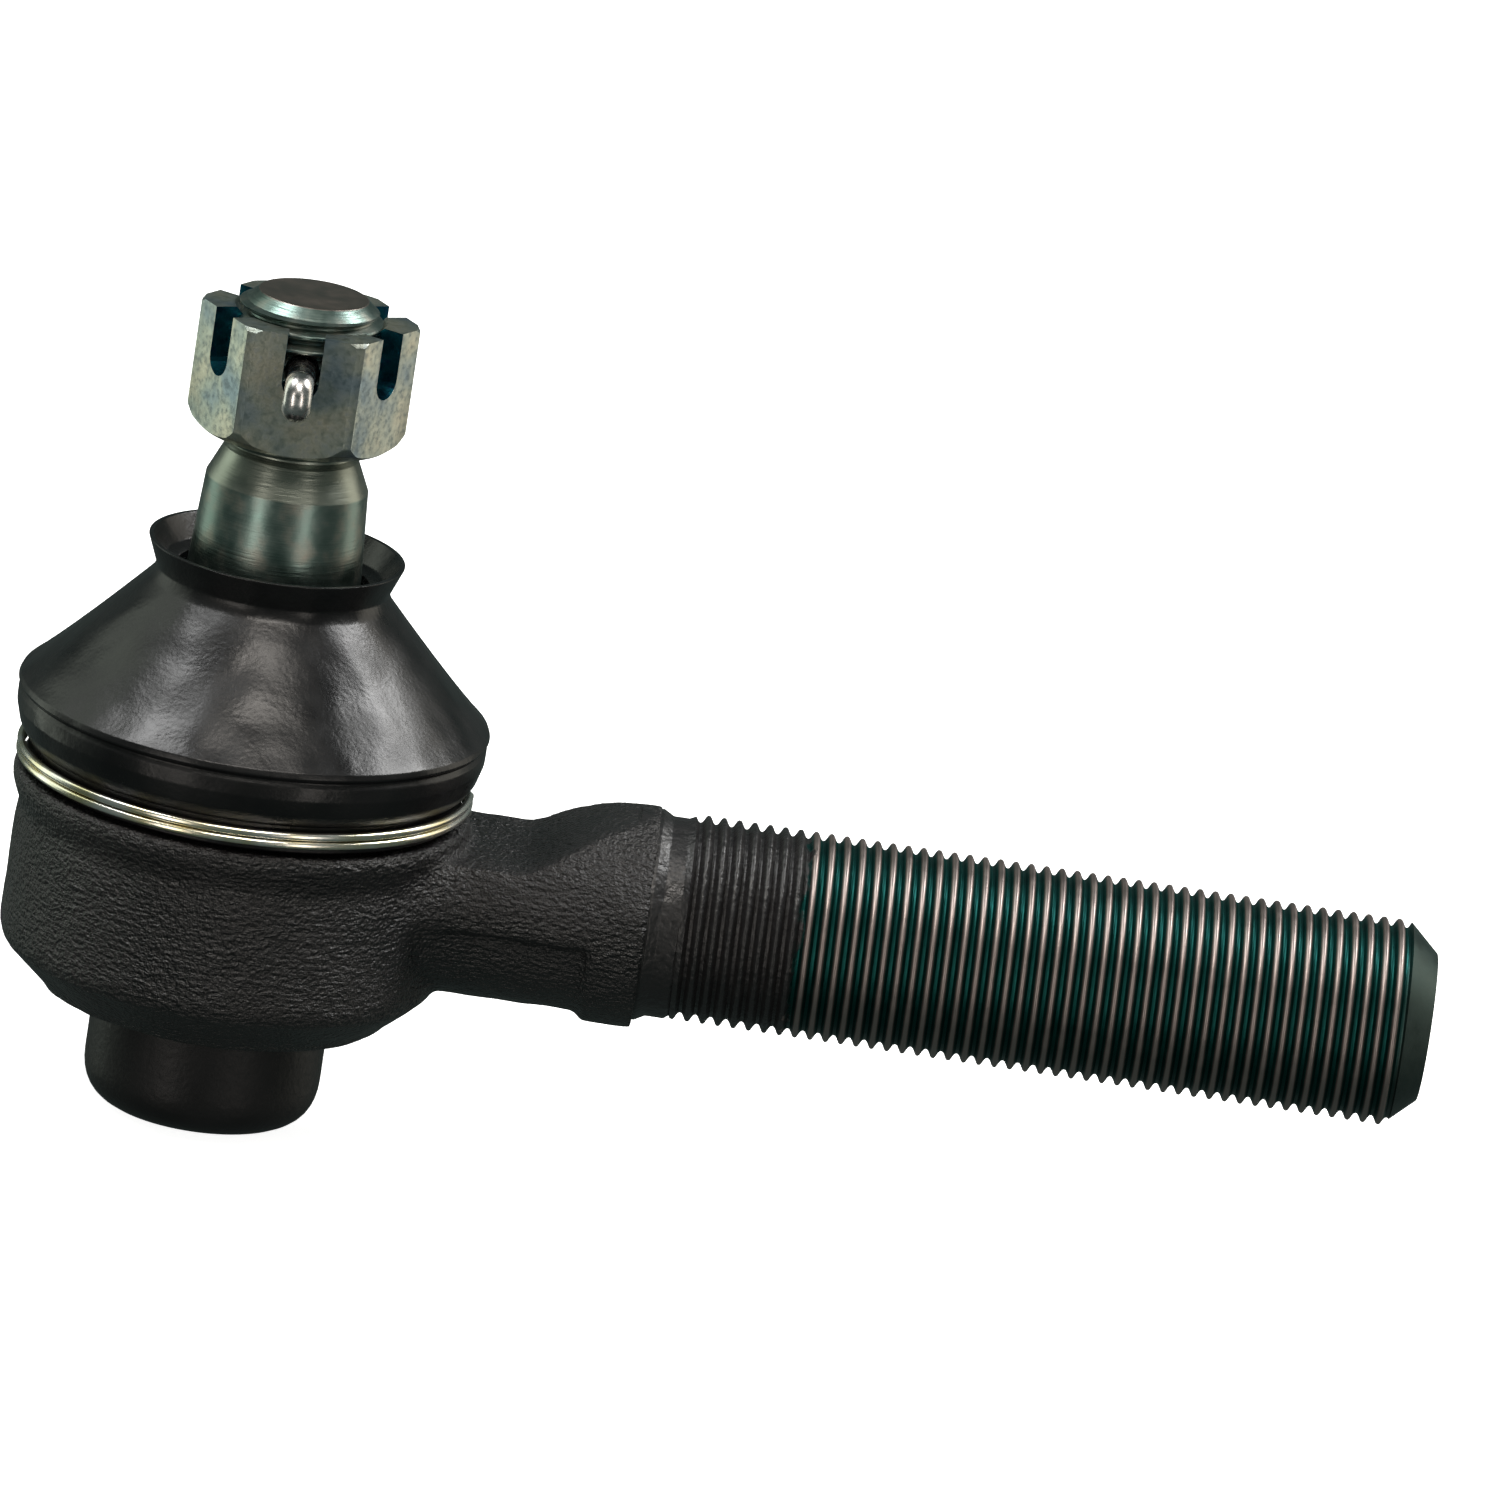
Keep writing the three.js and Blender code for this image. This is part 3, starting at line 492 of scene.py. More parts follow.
shank = thread(
    "threaded_shank", SHANK_RADIUS, SHANK_RADIUS - SHANK_THREAD_DEPTH, SHANK_PITCH,
    SHANK_THREAD_START, SHANK_END, 96,
)
envelope = turned(
    "shank_envelope",
    rounded([
        (0, 41, 0), (9.3, 41, 0), (9.3, 42.8, 0), (10.2, 44.6, 0),
        (10.2, SHANK_END - 3.26, 0), (7.2, SHANK_END, 0.15), (0, SHANK_END, 0),
    ]),
    steps=144,
)
combine(shank, envelope, "INTERSECT")
collar = turned(
    "shank_collar",
    rounded([
        (0, 38.5, 0), (10.3, 38.5, 0), (10.3, 40.6, 0.3), (9.75, 41.6, 0.4),
        (9.75, 43.4, 0.3), (9.2, 44.1, 0.1), (0, 44.1, 0),
    ]),
    steps=144,
)
collar.location.x = 0.3 * MM
apply_place(collar)
combine(shank, collar, "UNION")
shank.rotation_euler = (0, math.pi / 2, 0)
shank.location = (0, 0, BALL_Z * MM)
settle(shank)
bpy.ops.object.shade_smooth_by_angle(angle=math.radians(28))


def threaded_steel():
    # Rolled medium-carbon steel, blackened: dark green-grey in the valleys, brushed pinkish grey on
    # the crests, dull on the end's chamfer, and rough black enamel over the collar and first turns.
    made, tree, shader, place = new_material("blackened_rolled_steel_thread")
    centre = {"Location": (0, 0, -BALL_Z * MM)}
    centred = node(tree, "Mapping", {"Vector": place}, centre).outputs[0]
    across = node(tree, "Mapping", {"Vector": centred}, {"Scale": (0, 1, 1)}).outputs[0]
    radius = node(tree, "VectorMath", {0: across}, operation="LENGTH").outputs["Value"]
    scuffs = noise(tree, place, 1.6, 4)
    worn = between(tree, radius, 9.45 * MM, 9.9 * MM, 0, 1)
    rolled = colours(tree, worn, [(0, "#15423f"), (0.35, "#1c4f4a"), (0.7, "#6f6663"), (1, "#938783")])
    along = node(tree, "SeparateXYZ", {"Vector": place}).outputs["X"]
    chamfered = between(tree, along, (SHANK_END - 3.2) * MM, (SHANK_END - 2.6) * MM, 0, 1)
    bare = mixed(tree, chamfered, rolled, "#3d4a47")
    ragged = between(tree, scuffs, 0.3, 0.7, -0.5 * MM, 0.5 * MM)
    edge = node(tree, "Math", {0: along, 1: ragged}, operation="ADD").outputs[0]
    painted = between(tree, edge, ENAMEL_END * MM, (ENAMEL_END + 0.3) * MM, 1, 0)
    tree.links.new(mixed(tree, painted, bare, "#161516"), shader.inputs["Base Color"])
    tree.links.new(between(tree, painted, 0, 1, 1, 0), shader.inputs["Metallic"])
    tree.links.new(between(tree, scuffs, 0.3, 0.7, 0.36, 0.5), shader.inputs["Roughness"])
    grain = noise(tree, place, 0.8, 3)
    under_paint = node(tree, "Math", {0: grain, 1: painted}, operation="MULTIPLY").outputs[0]
    heights = node(
        tree, "Math", {0: scuffs, 2: under_paint}, {1: 0.12}, operation="MULTIPLY_ADD"
    ).outputs[0]
    relief(tree, shader, heights, 0.2)
    return made


give(shank, threaded_steel())
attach(shank, "housing")
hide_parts("housing")

# ------------------------------------------------------------------ upper race
# A ring of moulded acetal that the ball swings in, pressed into the top of the bore. The boot
# hides it, so it keeps its plain shape.


def moulded_acetal():
    # Acetal as moulded: warm white and slightly cloudy, with a low waxy gloss.
    made, tree, shader, place = new_material("moulded_acetal_resin")
    cloud = noise(tree, place, 5, 3)
    tree.links.new(
        colours(tree, cloud, [(0.3, "#ddd5bd"), (0.7, "#ece6d2")]),
        shader.inputs["Base Color"],
    )
    tree.links.new(between(tree, cloud, 0.3, 0.7, 0.38, 0.5), shader.inputs["Roughness"])
    relief(tree, shader, noise(tree, place, 0.4, 2), 0.01)
    return made


def finish_node(name, material):
    """Gives a CAD node that stays its material."""
    give(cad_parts[name], material)


acetal = moulded_acetal()
finish_node("upper_ball_race", acetal)

# ------------------------------------------------------------------ ball stud
# Forged and turned chromium steel: a ground ball, a narrow neck, a 1:8 taper that the steering arm
# seats on, and an M14 x 1.5 thread with a cross hole for the split pin.
TAPER_START = BALL_Z + 21.3
TAPER_END = TAPER_START + 16.1
STUD_THREAD_START = TAPER_END + 3
STUD_END = stud_high.z / MM
nut_low, nut_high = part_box("castle_nut")
NUT_BOTTOM = nut_low.z / MM
NUT_TOP = nut_high.z / MM
PIN_Z = NUT_TOP - 4.2
PIN_HOLE_RADIUS = 1.7
BALL_RADIUS = 12.5
STUD_THREAD_RADIUS = 7
STUD_THREAD_ROOT = 6.08
STUD_PITCH = 1.5

stud = turned(
    "ball_stud_turned",
    [
        (0, BALL_Z - BALL_FLAT),
        *arc(BALL_Z, BALL_RADIUS, -71.34, 61.31, 36),
        *rounded([
            (6.0, BALL_Z + 10.97, 0),
            (6.0, BALL_Z + 16.8, 2),
            (7.0, BALL_Z + 19.5, 1.2),
            (8.45, TAPER_START - 0.5, 0.3),
            (8.856, TAPER_START, 0.3),
            (7.85, TAPER_END, 0.12),
            (6.5, STUD_THREAD_START, 0.3),
            (STUD_THREAD_ROOT, STUD_THREAD_START + 0.5, 0.2),
            (STUD_THREAD_ROOT, STUD_THREAD_START + 1.5, 0),
        ])[1:],
        (0, STUD_THREAD_START + 1.5),
    ],
    steps=128,
)
stud_thread = thread(
    "stud_thread", STUD_THREAD_RADIUS, STUD_THREAD_ROOT, STUD_PITCH,
    STUD_THREAD_START + 0.8, STUD_END, 72,
)
stud_envelope = turned(
    "stud_envelope",
    rounded([
        (0, STUD_THREAD_START, 0), (6.2, STUD_THREAD_START, 0), (7.2, STUD_THREAD_START + 1.6, 0),
        (7.2, STUD_END - 1.35, 0), (6.4, STUD_END - 1, 0), (5.25, STUD_END, 0.1), (0, STUD_END, 0),
    ]),
    steps=128,
)
combine(stud_thread, stud_envelope, "INTERSECT")
combine(stud, stud_thread, "UNION")
bpy.ops.mesh.primitive_cylinder_add(
    vertices=40,
    radius=PIN_HOLE_RADIUS * MM,
    depth=20 * MM,
    location=(0, 0, PIN_Z * MM),
    rotation=(math.pi / 2, 0, 0),
)
combine(stud, bpy.context.object, "DIFFERENCE")
settle(stud)
bpy.ops.object.shade_smooth_by_angle(angle=math.radians(14))


def turned_steel():
    # Turned and oiled alloy steel: a grey with a green cast, fine rings from the lathe, and dark
    # spots of dried rust-proofing oil. It is browned on the end face. The cone above the taper is
    # painted paler, a painted highlight for the light that its upward-facing slope catches.
    made, tree, shader, place = new_material("turned_oiled_steel")
    rings = node(tree, "Mapping", {"Vector": place}, {"Scale": (0.05, 0.05, 1)}).outputs[0]
    lathe_marks = noise(tree, rings, 0.22, 2)
    oil = noise(tree, place, 2.2, 5)
    spots = noise(tree, place, 0.9, 2)
    steel = colours(tree, oil, [(0.25, "#5c706a"), (0.5, "#6d7c76"), (0.75, "#8a897f")])
    stained = between(tree, spots, 0.72, 0.8, 0, 0.35)
    stained_steel = mixed(tree, stained, steel, "#3a403e")
    height = node(tree, "SeparateXYZ", {"Vector": place}).outputs["Z"]
    above_taper = between(tree, height, (TAPER_END - 0.1) * MM, (TAPER_END + 0.1) * MM, 0, 1)
    in_thread = between(
        tree, height, (STUD_THREAD_START + 0.5) * MM, (STUD_THREAD_START + 1) * MM, 1, 0
    )
    # Painted highlight: the cone between the taper and the thread is given a paler grey.
    painted_highlight_on_cone = node(tree, "Math", {0: above_taper, 1: in_thread}, operation="MULTIPLY").outputs[0]
    steel_with_painted_cone_highlight = mixed(tree, painted_highlight_on_cone, stained_steel, "#858a80")
    end_face = between(tree, height, (STUD_END - 0.1) * MM, (STUD_END - 0.02) * MM, 0, 1)
    tree.links.new(mixed(tree, end_face, steel_with_painted_cone_highlight, "#94867e"), shader.inputs["Base Color"])
    shader.inputs["Metallic"].default_value = 1
    tree.links.new(between(tree, oil, 0.3, 0.7, 0.28, 0.4), shader.inputs["Roughness"])
    relief(tree, shader, lathe_marks, 0.03)
    return made


give(stud, turned_steel())
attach(stud, "stud")
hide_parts("ball_stud")

# ------------------------------------------------------------------ lower race, seat and spring
# Under the ball: a second acetal race, which turns with it, a moulded cup that carries it, and a
# shot-peened spring that takes up the wear. They are hidden once the cover is crimped on.


def peened_spring_steel():
    # Shot-peened spring steel: dull blue-grey with fine dimples.
    made, tree, shader, place = new_material("peened_spring_steel")
    dimples = noise(tree, place, 0.35, 2)
    tree.links.new(
        colours(tree, dimples, [(0.35, "#6a6f74"), (0.65, "#8f9498")]),
        shader.inputs["Base Color"],
    )
    shader.inputs["Metallic"].default_value = 1
    shader.inputs["Roughness"].default_value = 0.42
    relief(tree, shader, dimples, 0.02)
    return made


spring_steel = peened_spring_steel()
finish_node("lower_ball_race", acetal)
finish_node("pressure_cup", acetal)
finish_node("seat_spring", spring_steel)

# ------------------------------------------------------------------ end cover and seal
# The bore is closed by a deep-drawn steel cup with a rubber seal over its flange, held by the
# housing's edge, which is rolled over it. Drawing leaves the cup smoother than the forging.
COVER_RADIUS = 11.5
COVER_INSIDE = 10.1
COVER_SHEET = 1.4
FLANGE_RADIUS = 15.78
FLANGE_BOTTOM = CRIMP_BOTTOM + 1.2
FLANGE_TOP = CRIMP_BOTTOM + 2.6
cover = turned(
    "drawn_cover",
    rounded([
        (0, 0, 0),
        (COVER_RADIUS, 0, 4.6),
        (COVER_RADIUS, FLANGE_BOTTOM, 0.4),
        (FLANGE_RADIUS, FLANGE_BOTTOM, 0.1),
        (FLANGE_RADIUS, FLANGE_TOP, 0.2),
        (COVER_INSIDE, FLANGE_TOP, 1.2),
        (COVER_INSIDE, COVER_SHEET, 3.2),
        (0, COVER_SHEET, 0),
    ], steps=10),
)
bpy.ops.object.shade_smooth_by_angle(angle=math.radians(30))


def paint_on_drawn_steel():
    # The same black enamel on smooth drawn steel: dull satin, with a fine orange peel.
    made, tree, shader, place = new_material("black_enamel_on_drawn_steel")
    patches = noise(tree, place, 7, 3)
    tree.links.new(
        colours(tree, patches, [(0.35, "#0d0c0d"), (0.65, "#151415")]),
        shader.inputs["Base Color"],
    )
    tree.links.new(between(tree, patches, 0.3, 0.7, 0.42, 0.54), shader.inputs["Roughness"])
    shader.inputs["Specular IOR Level"].default_value = 0.3
    relief(tree, shader, noise(tree, place, 0.6, 2), 0.05)
    return made


give(cover, paint_on_drawn_steel())
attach(cover, "housing")
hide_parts("end_cover")


def moulded_rubber(name, dark, light, roughness):
    # Moulded chloroprene rubber: nearly black, satin where the mould was polished.
    made, tree, shader, place = new_material(name)
    bloom = noise(tree, place, 6, 4)
    tree.links.new(colours(tree, bloom, [(0.35, dark), (0.68, light)]), shader.inputs["Base Color"])
    tree.links.new(
        between(tree, bloom, 0.3, 0.7, roughness - 0.06, roughness + 0.1), shader.inputs["Roughness"]
    )
    shader.inputs["Specular IOR Level"].default_value = 0.32
    dents = node(tree, "Math", {0: noise(tree, place, 7, 1)}, {1: 18}, operation="MULTIPLY").outputs[0]
    heights = node(tree, "Math", {0: dents, 1: noise(tree, place, 0.5, 3)}, operation="ADD").outputs[0]
    relief(tree, shader, heights, 0.03)
    return made


finish_node("cover_seal", moulded_rubber("moulded_seal_rubber", "#211d1b", "#332d2a", 0.6))

# ------------------------------------------------------------------ dust boot
# A moulded rubber boot keeps the grease in. Its foot sits in the housing's groove; its cone
# narrows to a neck that grips the stud, under an open lip. It is made in two halves that meet
# on the cone; its wall is thinnest there.
_, boot_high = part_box("dust_boot")
BOOT_NECK = BALL_Z + 27.2
WIDEST = BALL_Z + 15.08
SPLIT = BALL_Z + 19.2
CONE_WALL = 0.8
WIDEST_RADIUS = boot_high.y / MM
WAIST = 11.29
CONE_CURVE = 1.08
FOOT_INSIDE = 19.68
FOOT_BOTTOM = LIP_TOP + 0.3


def cone(t, inset=0):
    """The cone's outline, 0 at its widest and 1 at the neck, or the wall's inside under it."""
    return (
        WIDEST_RADIUS + (WAIST - WIDEST_RADIUS) * t - 0.62 * inset,
        WIDEST + (BOOT_NECK - WIDEST) * t ** CONE_CURVE - 0.85 * inset,
    )


split_t = ((SPLIT - WIDEST) / (BOOT_NECK - WIDEST)) ** (1 / CONE_CURVE)
lower_boot = turned(
    "boot_lower",
    [
        *rounded([
            (FOOT_INSIDE, FOOT_BOTTOM, 0),
            (21.08, FOOT_BOTTOM, 0.2),
            (21.08, LIP_TOP + 3.12, 0.2),
            (21.5, LIP_TOP + 3.12, 0.3),
            (22.25, LIP_TOP + 4.3, 0.9),
            (22.72, LIP_TOP + 6, 1.2),
            (22.74, WIDEST - 1.3, 0.5),
            (22.45, WIDEST - 0.8, 0.2),
            (22.92, WIDEST - 0.35, 0.25),
            (*cone(0.02), 0.4),
            (*cone(0.08), 0),
        ]),
        *[cone(0.08 + (split_t - 0.08) * k / 8) for k in range(1, 9)],
        *[cone(split_t * (1 - k / 8), CONE_WALL) for k in range(8)],
        *rounded([
            (21.0, WIDEST - 1.6, 0),
            (20.5, LIP_TOP + 5.1, 1),
            (FOOT_INSIDE, LIP_TOP + 3.6, 0.5),
            (FOOT_INSIDE, FOOT_BOTTOM, 0),
        ]),
    ],
    steps=160,
)
upper_boot = turned(
    "boot_upper",
    [
        *[cone(split_t + (0.95 - split_t) * k / 9) for k in range(10)],
        *rounded([
            (*cone(0.97), 0),
            (WAIST, BOOT_NECK + 0.5, 0.7),
            (12.4, BOOT_NECK + 3.3, 0.3),
            (12.4, BOOT_NECK + 3.4, 0.1),
            (11.95, BOOT_NECK + 3.4, 0.1),
            (10.6, BOOT_NECK + 1.2, 0.5),
            (9.35, BOOT_NECK + 0.8, 0.2),
            (9.3, BOOT_NECK, 0.1),
            (10.29, BOOT_NECK, 0.05),
            (10.29, BOOT_NECK - 3.4, 0.1),
            (*cone(0.8, CONE_WALL), 0),
        ]),
        *[cone(0.8 - (0.8 - split_t) * k / 7, CONE_WALL) for k in range(1, 8)],
        cone(split_t),
    ],
    steps=160,
)
boot_rubber = moulded_rubber("moulded_boot_rubber", "#09090a", "#101011", 0.31)
for half in (lower_boot, upper_boot):
    select_only(half)
    bpy.ops.object.shade_smooth_by_angle(angle=math.radians(40))
    give(half, boot_rubber)
    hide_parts("dust_boot")
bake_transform(lower_boot)
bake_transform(upper_boot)
finish_node("boot_neck_ring", spring_steel)

# ------------------------------------------------------------------ clamp ring
# Two turns of bright round wire are sprung over the boot's foot and hold it in the groove.
WIRE_RADIUS = 0.4
WIRE_PITCH = 0.86
bpy.ops.object.select_all(action="DESELECT")
bpy.ops.mesh.primitive_circle_add(
    vertices=20,
    radius=WIRE_RADIUS * MM,
    location=((LIP_RADIUS - WIRE_RADIUS) * MM, 0, (FOOT_BOTTOM + WIRE_RADIUS) * MM),
    rotation=(math.pi / 2, 0, 0),
)
clamp = bpy.context.object
clamp.name = "clamp_wire"
settle(clamp)
modify(
    clamp, "SCREW", steps=200, render_steps=200, angle=2 * math.pi,
    screw_offset=WIRE_PITCH * MM, iterations=2,
)
bpy.ops.object.mode_set(mode="EDIT")
bpy.ops.mesh.select_all(action="DESELECT")
bpy.ops.mesh.select_mode(type="EDGE")
bpy.ops.mesh.select_non_manifold()
bpy.ops.mesh.edge_face_add()
bpy.ops.mesh.select_mode(type="VERT")
settle(clamp)
bpy.ops.object.shade_smooth_by_angle(angle=math.radians(50))


def bright_wire():
    # Drawn wire, zinc plated and yellow passivated: bright, with a faint straw tint in streaks.
    made, tree, shader, place = new_material("bright_passivated_wire")
    streaks = noise(tree, place, 4, 2)
    tree.links.new(
        colours(tree, streaks, [(0.35, "#d8cfa8"), (0.6, "#e9e6de")]),
        shader.inputs["Base Color"],
    )
    shader.inputs["Metallic"].default_value = 1
    tree.links.new(between(tree, streaks, 0.3, 0.7, 0.22, 0.27), shader.inputs["Roughness"])
    return made


give(clamp, bright_wire())
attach(clamp, "housing")
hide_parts("boot_clamp_ring")

# ------------------------------------------------------------------ castle nut
# Cold-formed hexagon nut, a 19 mm nut at 18.7 over its flats, with six slots for the pin milled
# through the flats after forming. It is zinc plated; the passivation pools dark blue in the slots.
ACROSS_FLATS = 18.7
NUT_CORNER = ACROSS_FLATS / math.sqrt(3) - 0.25
SLOT_DEPTH = 6.3
SLOT_WIDTH = 3.55
bpy.ops.object.select_all(action="DESELECT")
bpy.ops.mesh.primitive_cylinder_add(
    vertices=6,
    radius=ACROSS_FLATS / math.sqrt(3) * MM,
    depth=(NUT_TOP - NUT_BOTTOM) * MM,
    location=(0, 0, (NUT_BOTTOM + NUT_TOP) / 2 * MM),
    rotation=(0, 0, math.pi / 6),
)
nut = bpy.context.object
nut.name = "castle_nut_plated"
settle(nut)
corner_mask = turned(
    "corner_mask",
    rounded([
        (0, NUT_BOTTOM - 1, 0), (NUT_CORNER - 2.7, NUT_BOTTOM - 1, 0),
        (NUT_CORNER - 0.5, NUT_BOTTOM + 0.7, 0.3), (NUT_CORNER, NUT_BOTTOM + 1.6, 0.6),
        (NUT_CORNER, NUT_TOP - 0.4, 0.2), (NUT_CORNER - 1.05, NUT_TOP + 1, 0),
        (0, NUT_TOP + 1, 0), (0, NUT_BOTTOM - 1, 0),
    ]),
    steps=96,
)
combine(nut, corner_mask, "INTERSECT")
nut_bore = thread("nut_bore", 7.12, 6.2, STUD_PITCH, NUT_BOTTOM - 3, NUT_TOP + 3, 48)
combine(nut, nut_bore, "DIFFERENCE")
for height, way in ((NUT_BOTTOM, 1), (NUT_TOP, -1)):
    countersink = turned(
        "countersink",
        [
            (0, height - way * 1.4), (8.8, height - way * 1.4),
            (6.2, height + way * 1.2), (0, height + way * 1.2), (0, height - way * 1.4),
        ],
        steps=64,
    )
    combine(nut, countersink, "DIFFERENCE")
for turn in range(3):
    half = SLOT_WIDTH / 2
    floor_z = NUT_TOP - SLOT_DEPTH
    round_floor = [
        (half * math.cos(math.radians(a)), floor_z + half + half * math.sin(math.radians(a)))
        for a in range(180, 361, 15)
    ]
    slot = prism(
        "slot",
        [(-half, NUT_TOP + 2), *round_floor, (half, NUT_TOP + 2), (-half, NUT_TOP + 2)],
        width=30,
    )
    slot.rotation_euler.z = turn * math.pi / 3
    apply_place(slot)
    combine(nut, slot, "DIFFERENCE")
settle(nut)
keeps_volume(nut, "castle_nut")
modify(nut, "BEVEL", width=0.16 * MM, segments=2, limit_method="ANGLE", angle_limit=math.radians(35))
bpy.ops.object.shade_smooth_by_angle(angle=math.radians(12))


def zinc_plate():
    # Zinc plate over cold-formed steel: clouded from blue-grey to beige, and speckled darker where
    # the plating is thin.
    made, tree, shader, place = new_material("clear_passivated_zinc_plate")
    clouds = noise(tree, place, 5, 4)
    specks = noise(tree, place, 0.6, 3)
    plate = colours(tree, clouds, [(0.34, "#7f8e95"), (0.5, "#a0a69c"), (0.66, "#b5b2a1")])
    thin = between(tree, specks, 0.5, 0.68, 0, 0.5)
    tree.links.new(mixed(tree, thin, plate, "#6b777d"), shader.inputs["Base Color"])
    shader.inputs["Metallic"].default_value = 1
    tree.links.new(between(tree, specks, 0.3, 0.7, 0.3, 0.46), shader.inputs["Roughness"])
    relief(tree, shader, specks, 0.03)
    return made


def pooled_passivation():
    # The same plate where the passivation bath dried in the slots: dark, iridescent blue.
    made, tree, shader, place = new_material("pooled_blue_passivation")
    clouds = noise(tree, place, 1.4, 3)
    tree.links.new(
        colours(tree, clouds, [(0.3, "#12384a"), (0.55, "#1c6474"), (0.75, "#24446a")]),
        shader.inputs["Base Color"],
    )
    shader.inputs["Metallic"].default_value = 1
    shader.inputs["Roughness"].default_value = 0.38
    relief(tree, shader, clouds, 0.03)
    return made


give(nut, zinc_plate(), pooled_passivation())
for face in nut.data.polygons:
    middle = face.center / MM
    axes = [Vector((math.cos(a), math.sin(a), 0)) for a in (math.pi / 6, math.pi / 2, 5 * math.pi / 6)]
    under_flat = max(abs(middle.dot(axis)) for axis in axes) < ACROSS_FLATS / 2 - 0.12
    in_slot = min(abs(middle.cross(axis).z) for axis in axes) < SLOT_WIDTH / 2 + 0.04
    deep = NUT_TOP - SLOT_DEPTH - 0.1 < middle.z < NUT_TOP - 0.12
    face.material_index = 1 if under_flat and in_slot and deep else 0
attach(nut, "stud")
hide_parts("castle_nut")

# ------------------------------------------------------------------ split pin
# Half-round steel wire bent double round an eye, pushed through the slot and the stud's cross
# hole, its two legs bent apart behind the nut.
PIN_HALF = 1.35
EYE_RADIUS = 1.35
WIRE_THICK = 1.2
EYE_Y = -12.2
EYE_Z = PIN_Z - 0.9
leg = [(14.6, 1.1), (10.85, 0.39), (7.35, 0.2), (0, 0.1), (-6.85, 0.06), (EYE_Y + 2.05, -0.3)]
eye = [
    (EYE_Y + EYE_RADIUS * math.cos(math.radians(a)), EYE_Z + EYE_RADIUS * math.sin(math.radians(a)))
    for a in (-55, -85, -115, -145, -175, 155, 125, 95, 55)
]
route = [(y, PIN_Z - z) for y, z in leg] + eye + [(y, PIN_Z + z) for y, z in reversed(leg)]
route[5] = (EYE_Y + 2.05, EYE_Z - 0.1)
route[-6] = (EYE_Y + 2.05, EYE_Z + 0.6)
path = bpy.data.curves.new("pin_path", "CURVE")
path.dimensions = "3D"
path.twist_mode = "MINIMUM"
path.resolution_u = 6
spline = path.splines.new("NURBS")
spline.points.add(len(route) - 1)
for point, (y, z) in zip(spline.points, route):
    point.co = (0, y * MM, z * MM, 1)
spline.order_u = 4
spline.use_endpoint_u = True
section = bpy.data.curves.new("pin_section", "CURVE")
section.dimensions = "2D"
outline = section.splines.new("POLY")
half_round = [
    (PIN_HALF * math.cos(math.radians(a)), -WIRE_THICK * math.sin(math.radians(a)))
    for a in range(0, 181, 12)
]
outline.points.add(len(half_round) - 1)
for point, (across, high) in zip(outline.points, half_round):
    point.co = (across * MM, high * MM, 0, 1)
outline.use_cyclic_u = True
section_object = bpy.data.objects.new("pin_section", section)
bpy.context.scene.collection.objects.link(section_object)
path.bevel_mode = "OBJECT"
path.bevel_object = section_object
path.use_fill_caps = True
pin = bpy.data.objects.new("split_pin_wire", path)
bpy.context.scene.collection.objects.link(pin)
select_only(pin)
bpy.ops.object.convert(target="MESH")
pin = bpy.context.object
bpy.data.objects.remove(section_object)
settle(pin)
bpy.ops.object.shade_smooth_by_angle(angle=math.radians(40))


def bright_pin_steel():
    # Drawn soft steel, tumbled bright: smooth and shiny, with small dings.
    made, tree, shader, place = new_material("tumbled_bright_steel")
    dings = noise(tree, place, 0.8, 3)
    tree.links.new(
        colours(tree, dings, [(0.35, "#b9b4b1"), (0.65, "#dcd9d6")]),
        shader.inputs["Base Color"],
    )
    shader.inputs["Metallic"].default_value = 1
    tree.links.new(between(tree, dings, 0.3, 0.7, 0.2, 0.32), shader.inputs["Roughness"])
    relief(tree, shader, dings, 0.02)
    return made


give(pin, bright_pin_steel())
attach(pin, "stud")
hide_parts("split_pin")

# ------------------------------------------------------------------ floor and lights
# A pale floor just under the cover's flat, and soft boxes: one above the front, a tall one on
# each side, a small high one on each side that draws the bands on the boot, and two narrow strips
# beside the camera that draw the lines on the taper. The room behind them is dim.
bpy.ops.object.select_all(action="DESELECT")
bpy.ops.mesh.primitive_plane_add(size=6, location=(0, 0, -0.05 * MM))
floor = bpy.context.object
floor.name = "studio_floor"


def studio_paper():
    # White background paper, lit so that it stays white under the part's shadow.
    made, tree, shader, place = new_material("white_background_paper")
    fibre = noise(tree, place, 3, 2)
    tree.links.new(
        colours(tree, fibre, [(0.3, "#f4f4f4"), (0.7, "#f8f8f8")]),
        shader.inputs["Base Color"],
    )
    shader.inputs["Roughness"].default_value = 0.9
    shader.inputs["Emission Color"].default_value = linear("#ffffff")
    shader.inputs["Emission Strength"].default_value = 0.9
    return made


floor.data.materials.append(studio_paper())
floor.visible_glossy = False
floor.visible_diffuse = False
floor.visible_shadow = False


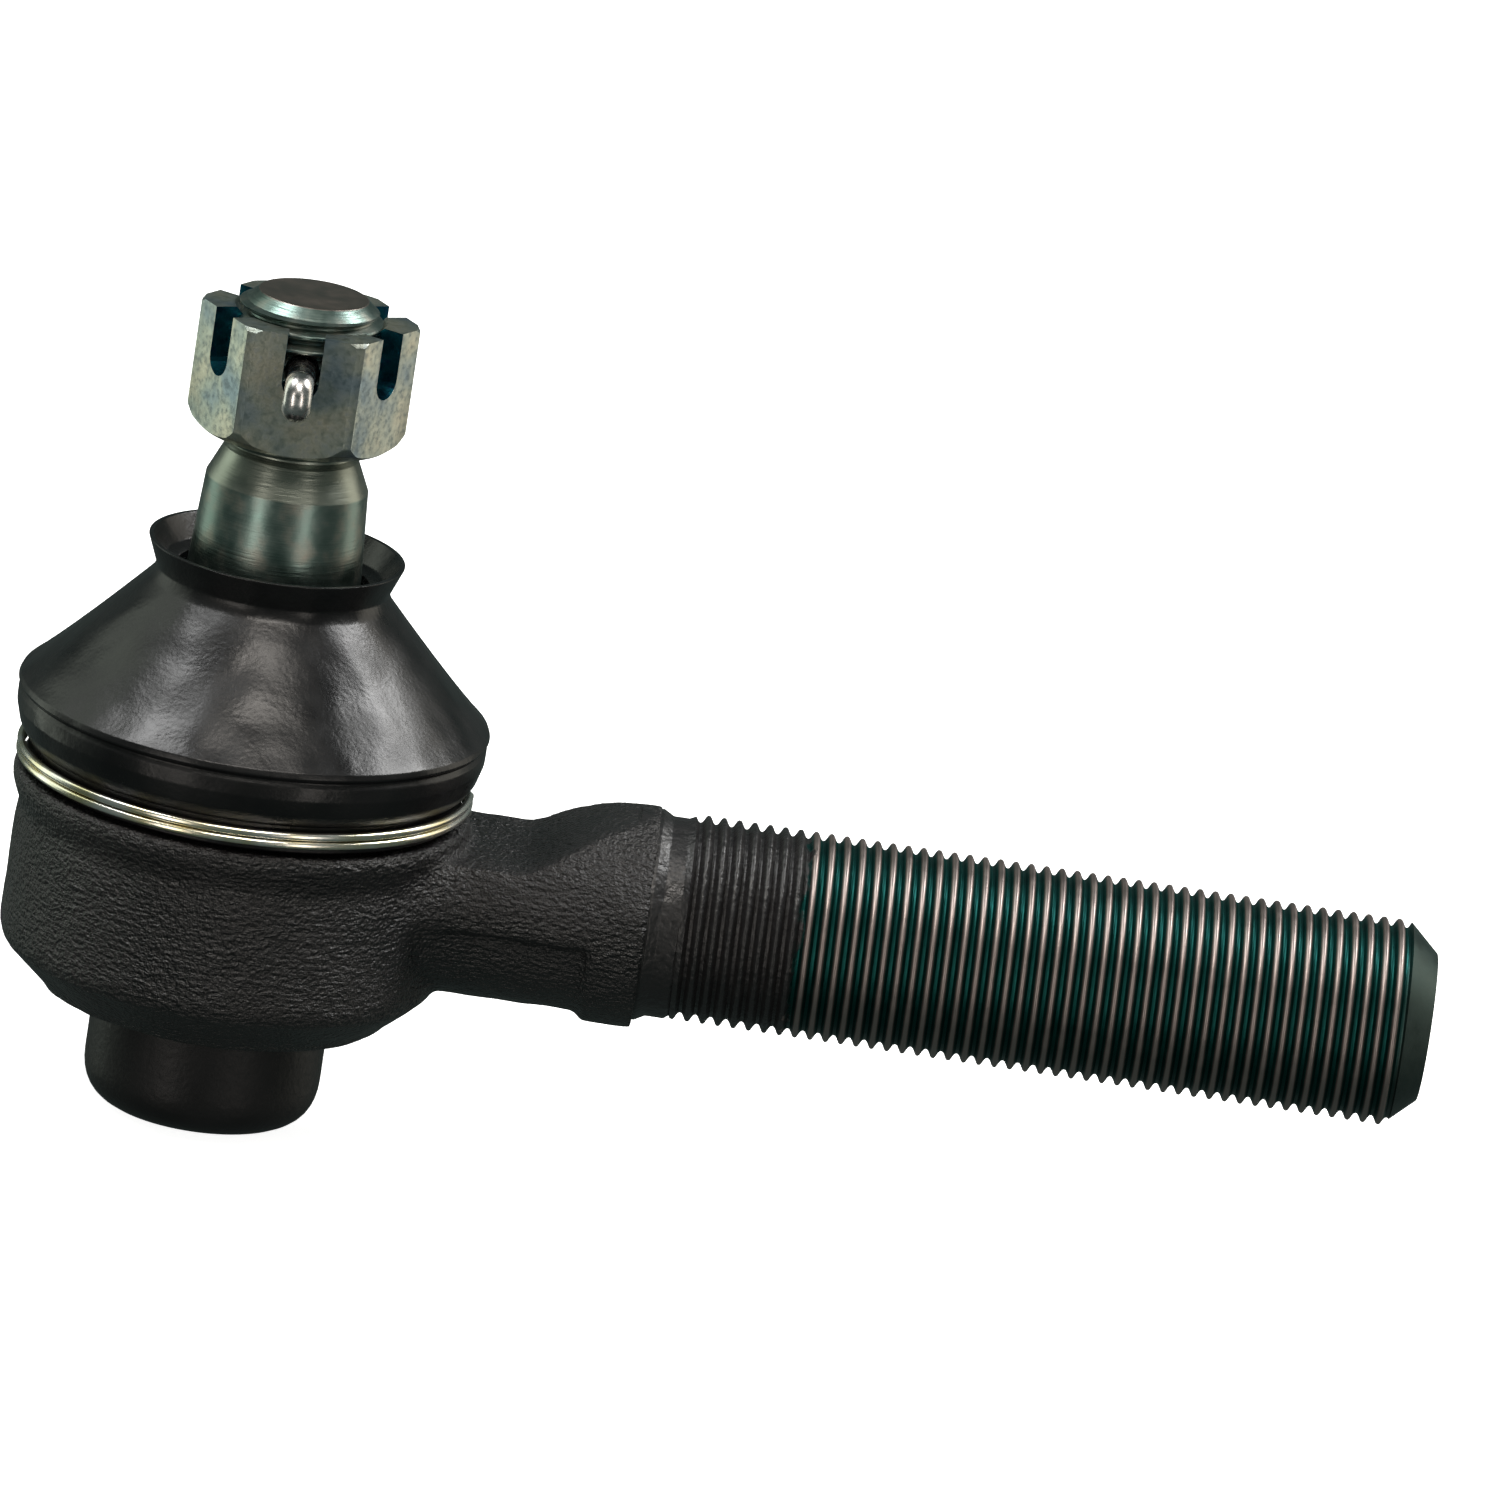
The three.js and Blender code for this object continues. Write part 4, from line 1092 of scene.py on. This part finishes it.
def soft_box(name, azimuth, elevation, distance, width, height, watts, tint):
    """An area light aimed at the part. Azimuth 0 is in front; elevation is above the horizon."""
    data = bpy.data.lights.new(name, "AREA")
    data.shape = "RECTANGLE"
    data.size = width
    data.size_y = height
    data.energy = watts
    data.color = linear(tint)[:3]
    lamp = bpy.data.objects.new(name, data)
    a, e = math.radians(azimuth), math.radians(elevation)
    towards = Vector((math.sin(a) * math.cos(e), -math.cos(a) * math.cos(e), math.sin(e)))
    lamp.location = Vector((0.03, 0, 0.045)) + distance * towards
    lamp.rotation_mode = "QUATERNION"
    lamp.rotation_quaternion = towards.to_track_quat("Z", "Y")
    lamp.visible_camera = False
    bpy.context.scene.collection.objects.link(lamp)
    return lamp


soft_box("overhead_box", 0, 60, 0.7, 0.30, 0.16, 2.8, "#fff8f0")
soft_box("left_box", -114, 14, 0.7, 0.34, 0.95, 1.5, "#f6ffee")
soft_box("right_box", 114, 14, 0.7, 0.34, 0.95, 1.5, "#fff6e6")
soft_box("left_high_box", -88, 60, 0.7, 0.22, 0.22, 2.4, "#ffffff")
soft_box("right_high_box", 108, 47, 0.7, 0.22, 0.22, 3.6, "#ffffff")
soft_box("left_strip", -34, 0, 0.8, 0.14, 0.8, 1.6, "#fff6ee")
soft_box("right_strip", 32, 0, 0.8, 0.12, 0.8, 1.3, "#fff6ee")

world = bpy.data.worlds.new("dark_studio")
bpy.context.scene.world = world
world.use_nodes = True
room = world.node_tree
ambient = room.nodes["Background"]
ambient.inputs["Color"].default_value = linear("#829490")
ambient.inputs["Strength"].default_value = 0.35
paper = node(room, "Background", values={"Color": linear("#ffffff"), "Strength": 1})
seen = node(room, "LightPath").outputs["Is Camera Ray"]
either = node(room, "MixShader", {0: seen, 1: ambient.outputs[0], 2: paper.outputs[0]})
room.links.new(either.outputs[0], room.nodes["World Output"].inputs["Surface"])
bpy.context.scene.view_settings.view_transform = "Standard"

# ------------------------------------------------------------------ the end
# The view layer is brought up to date.
bpy.context.view_layer.update()
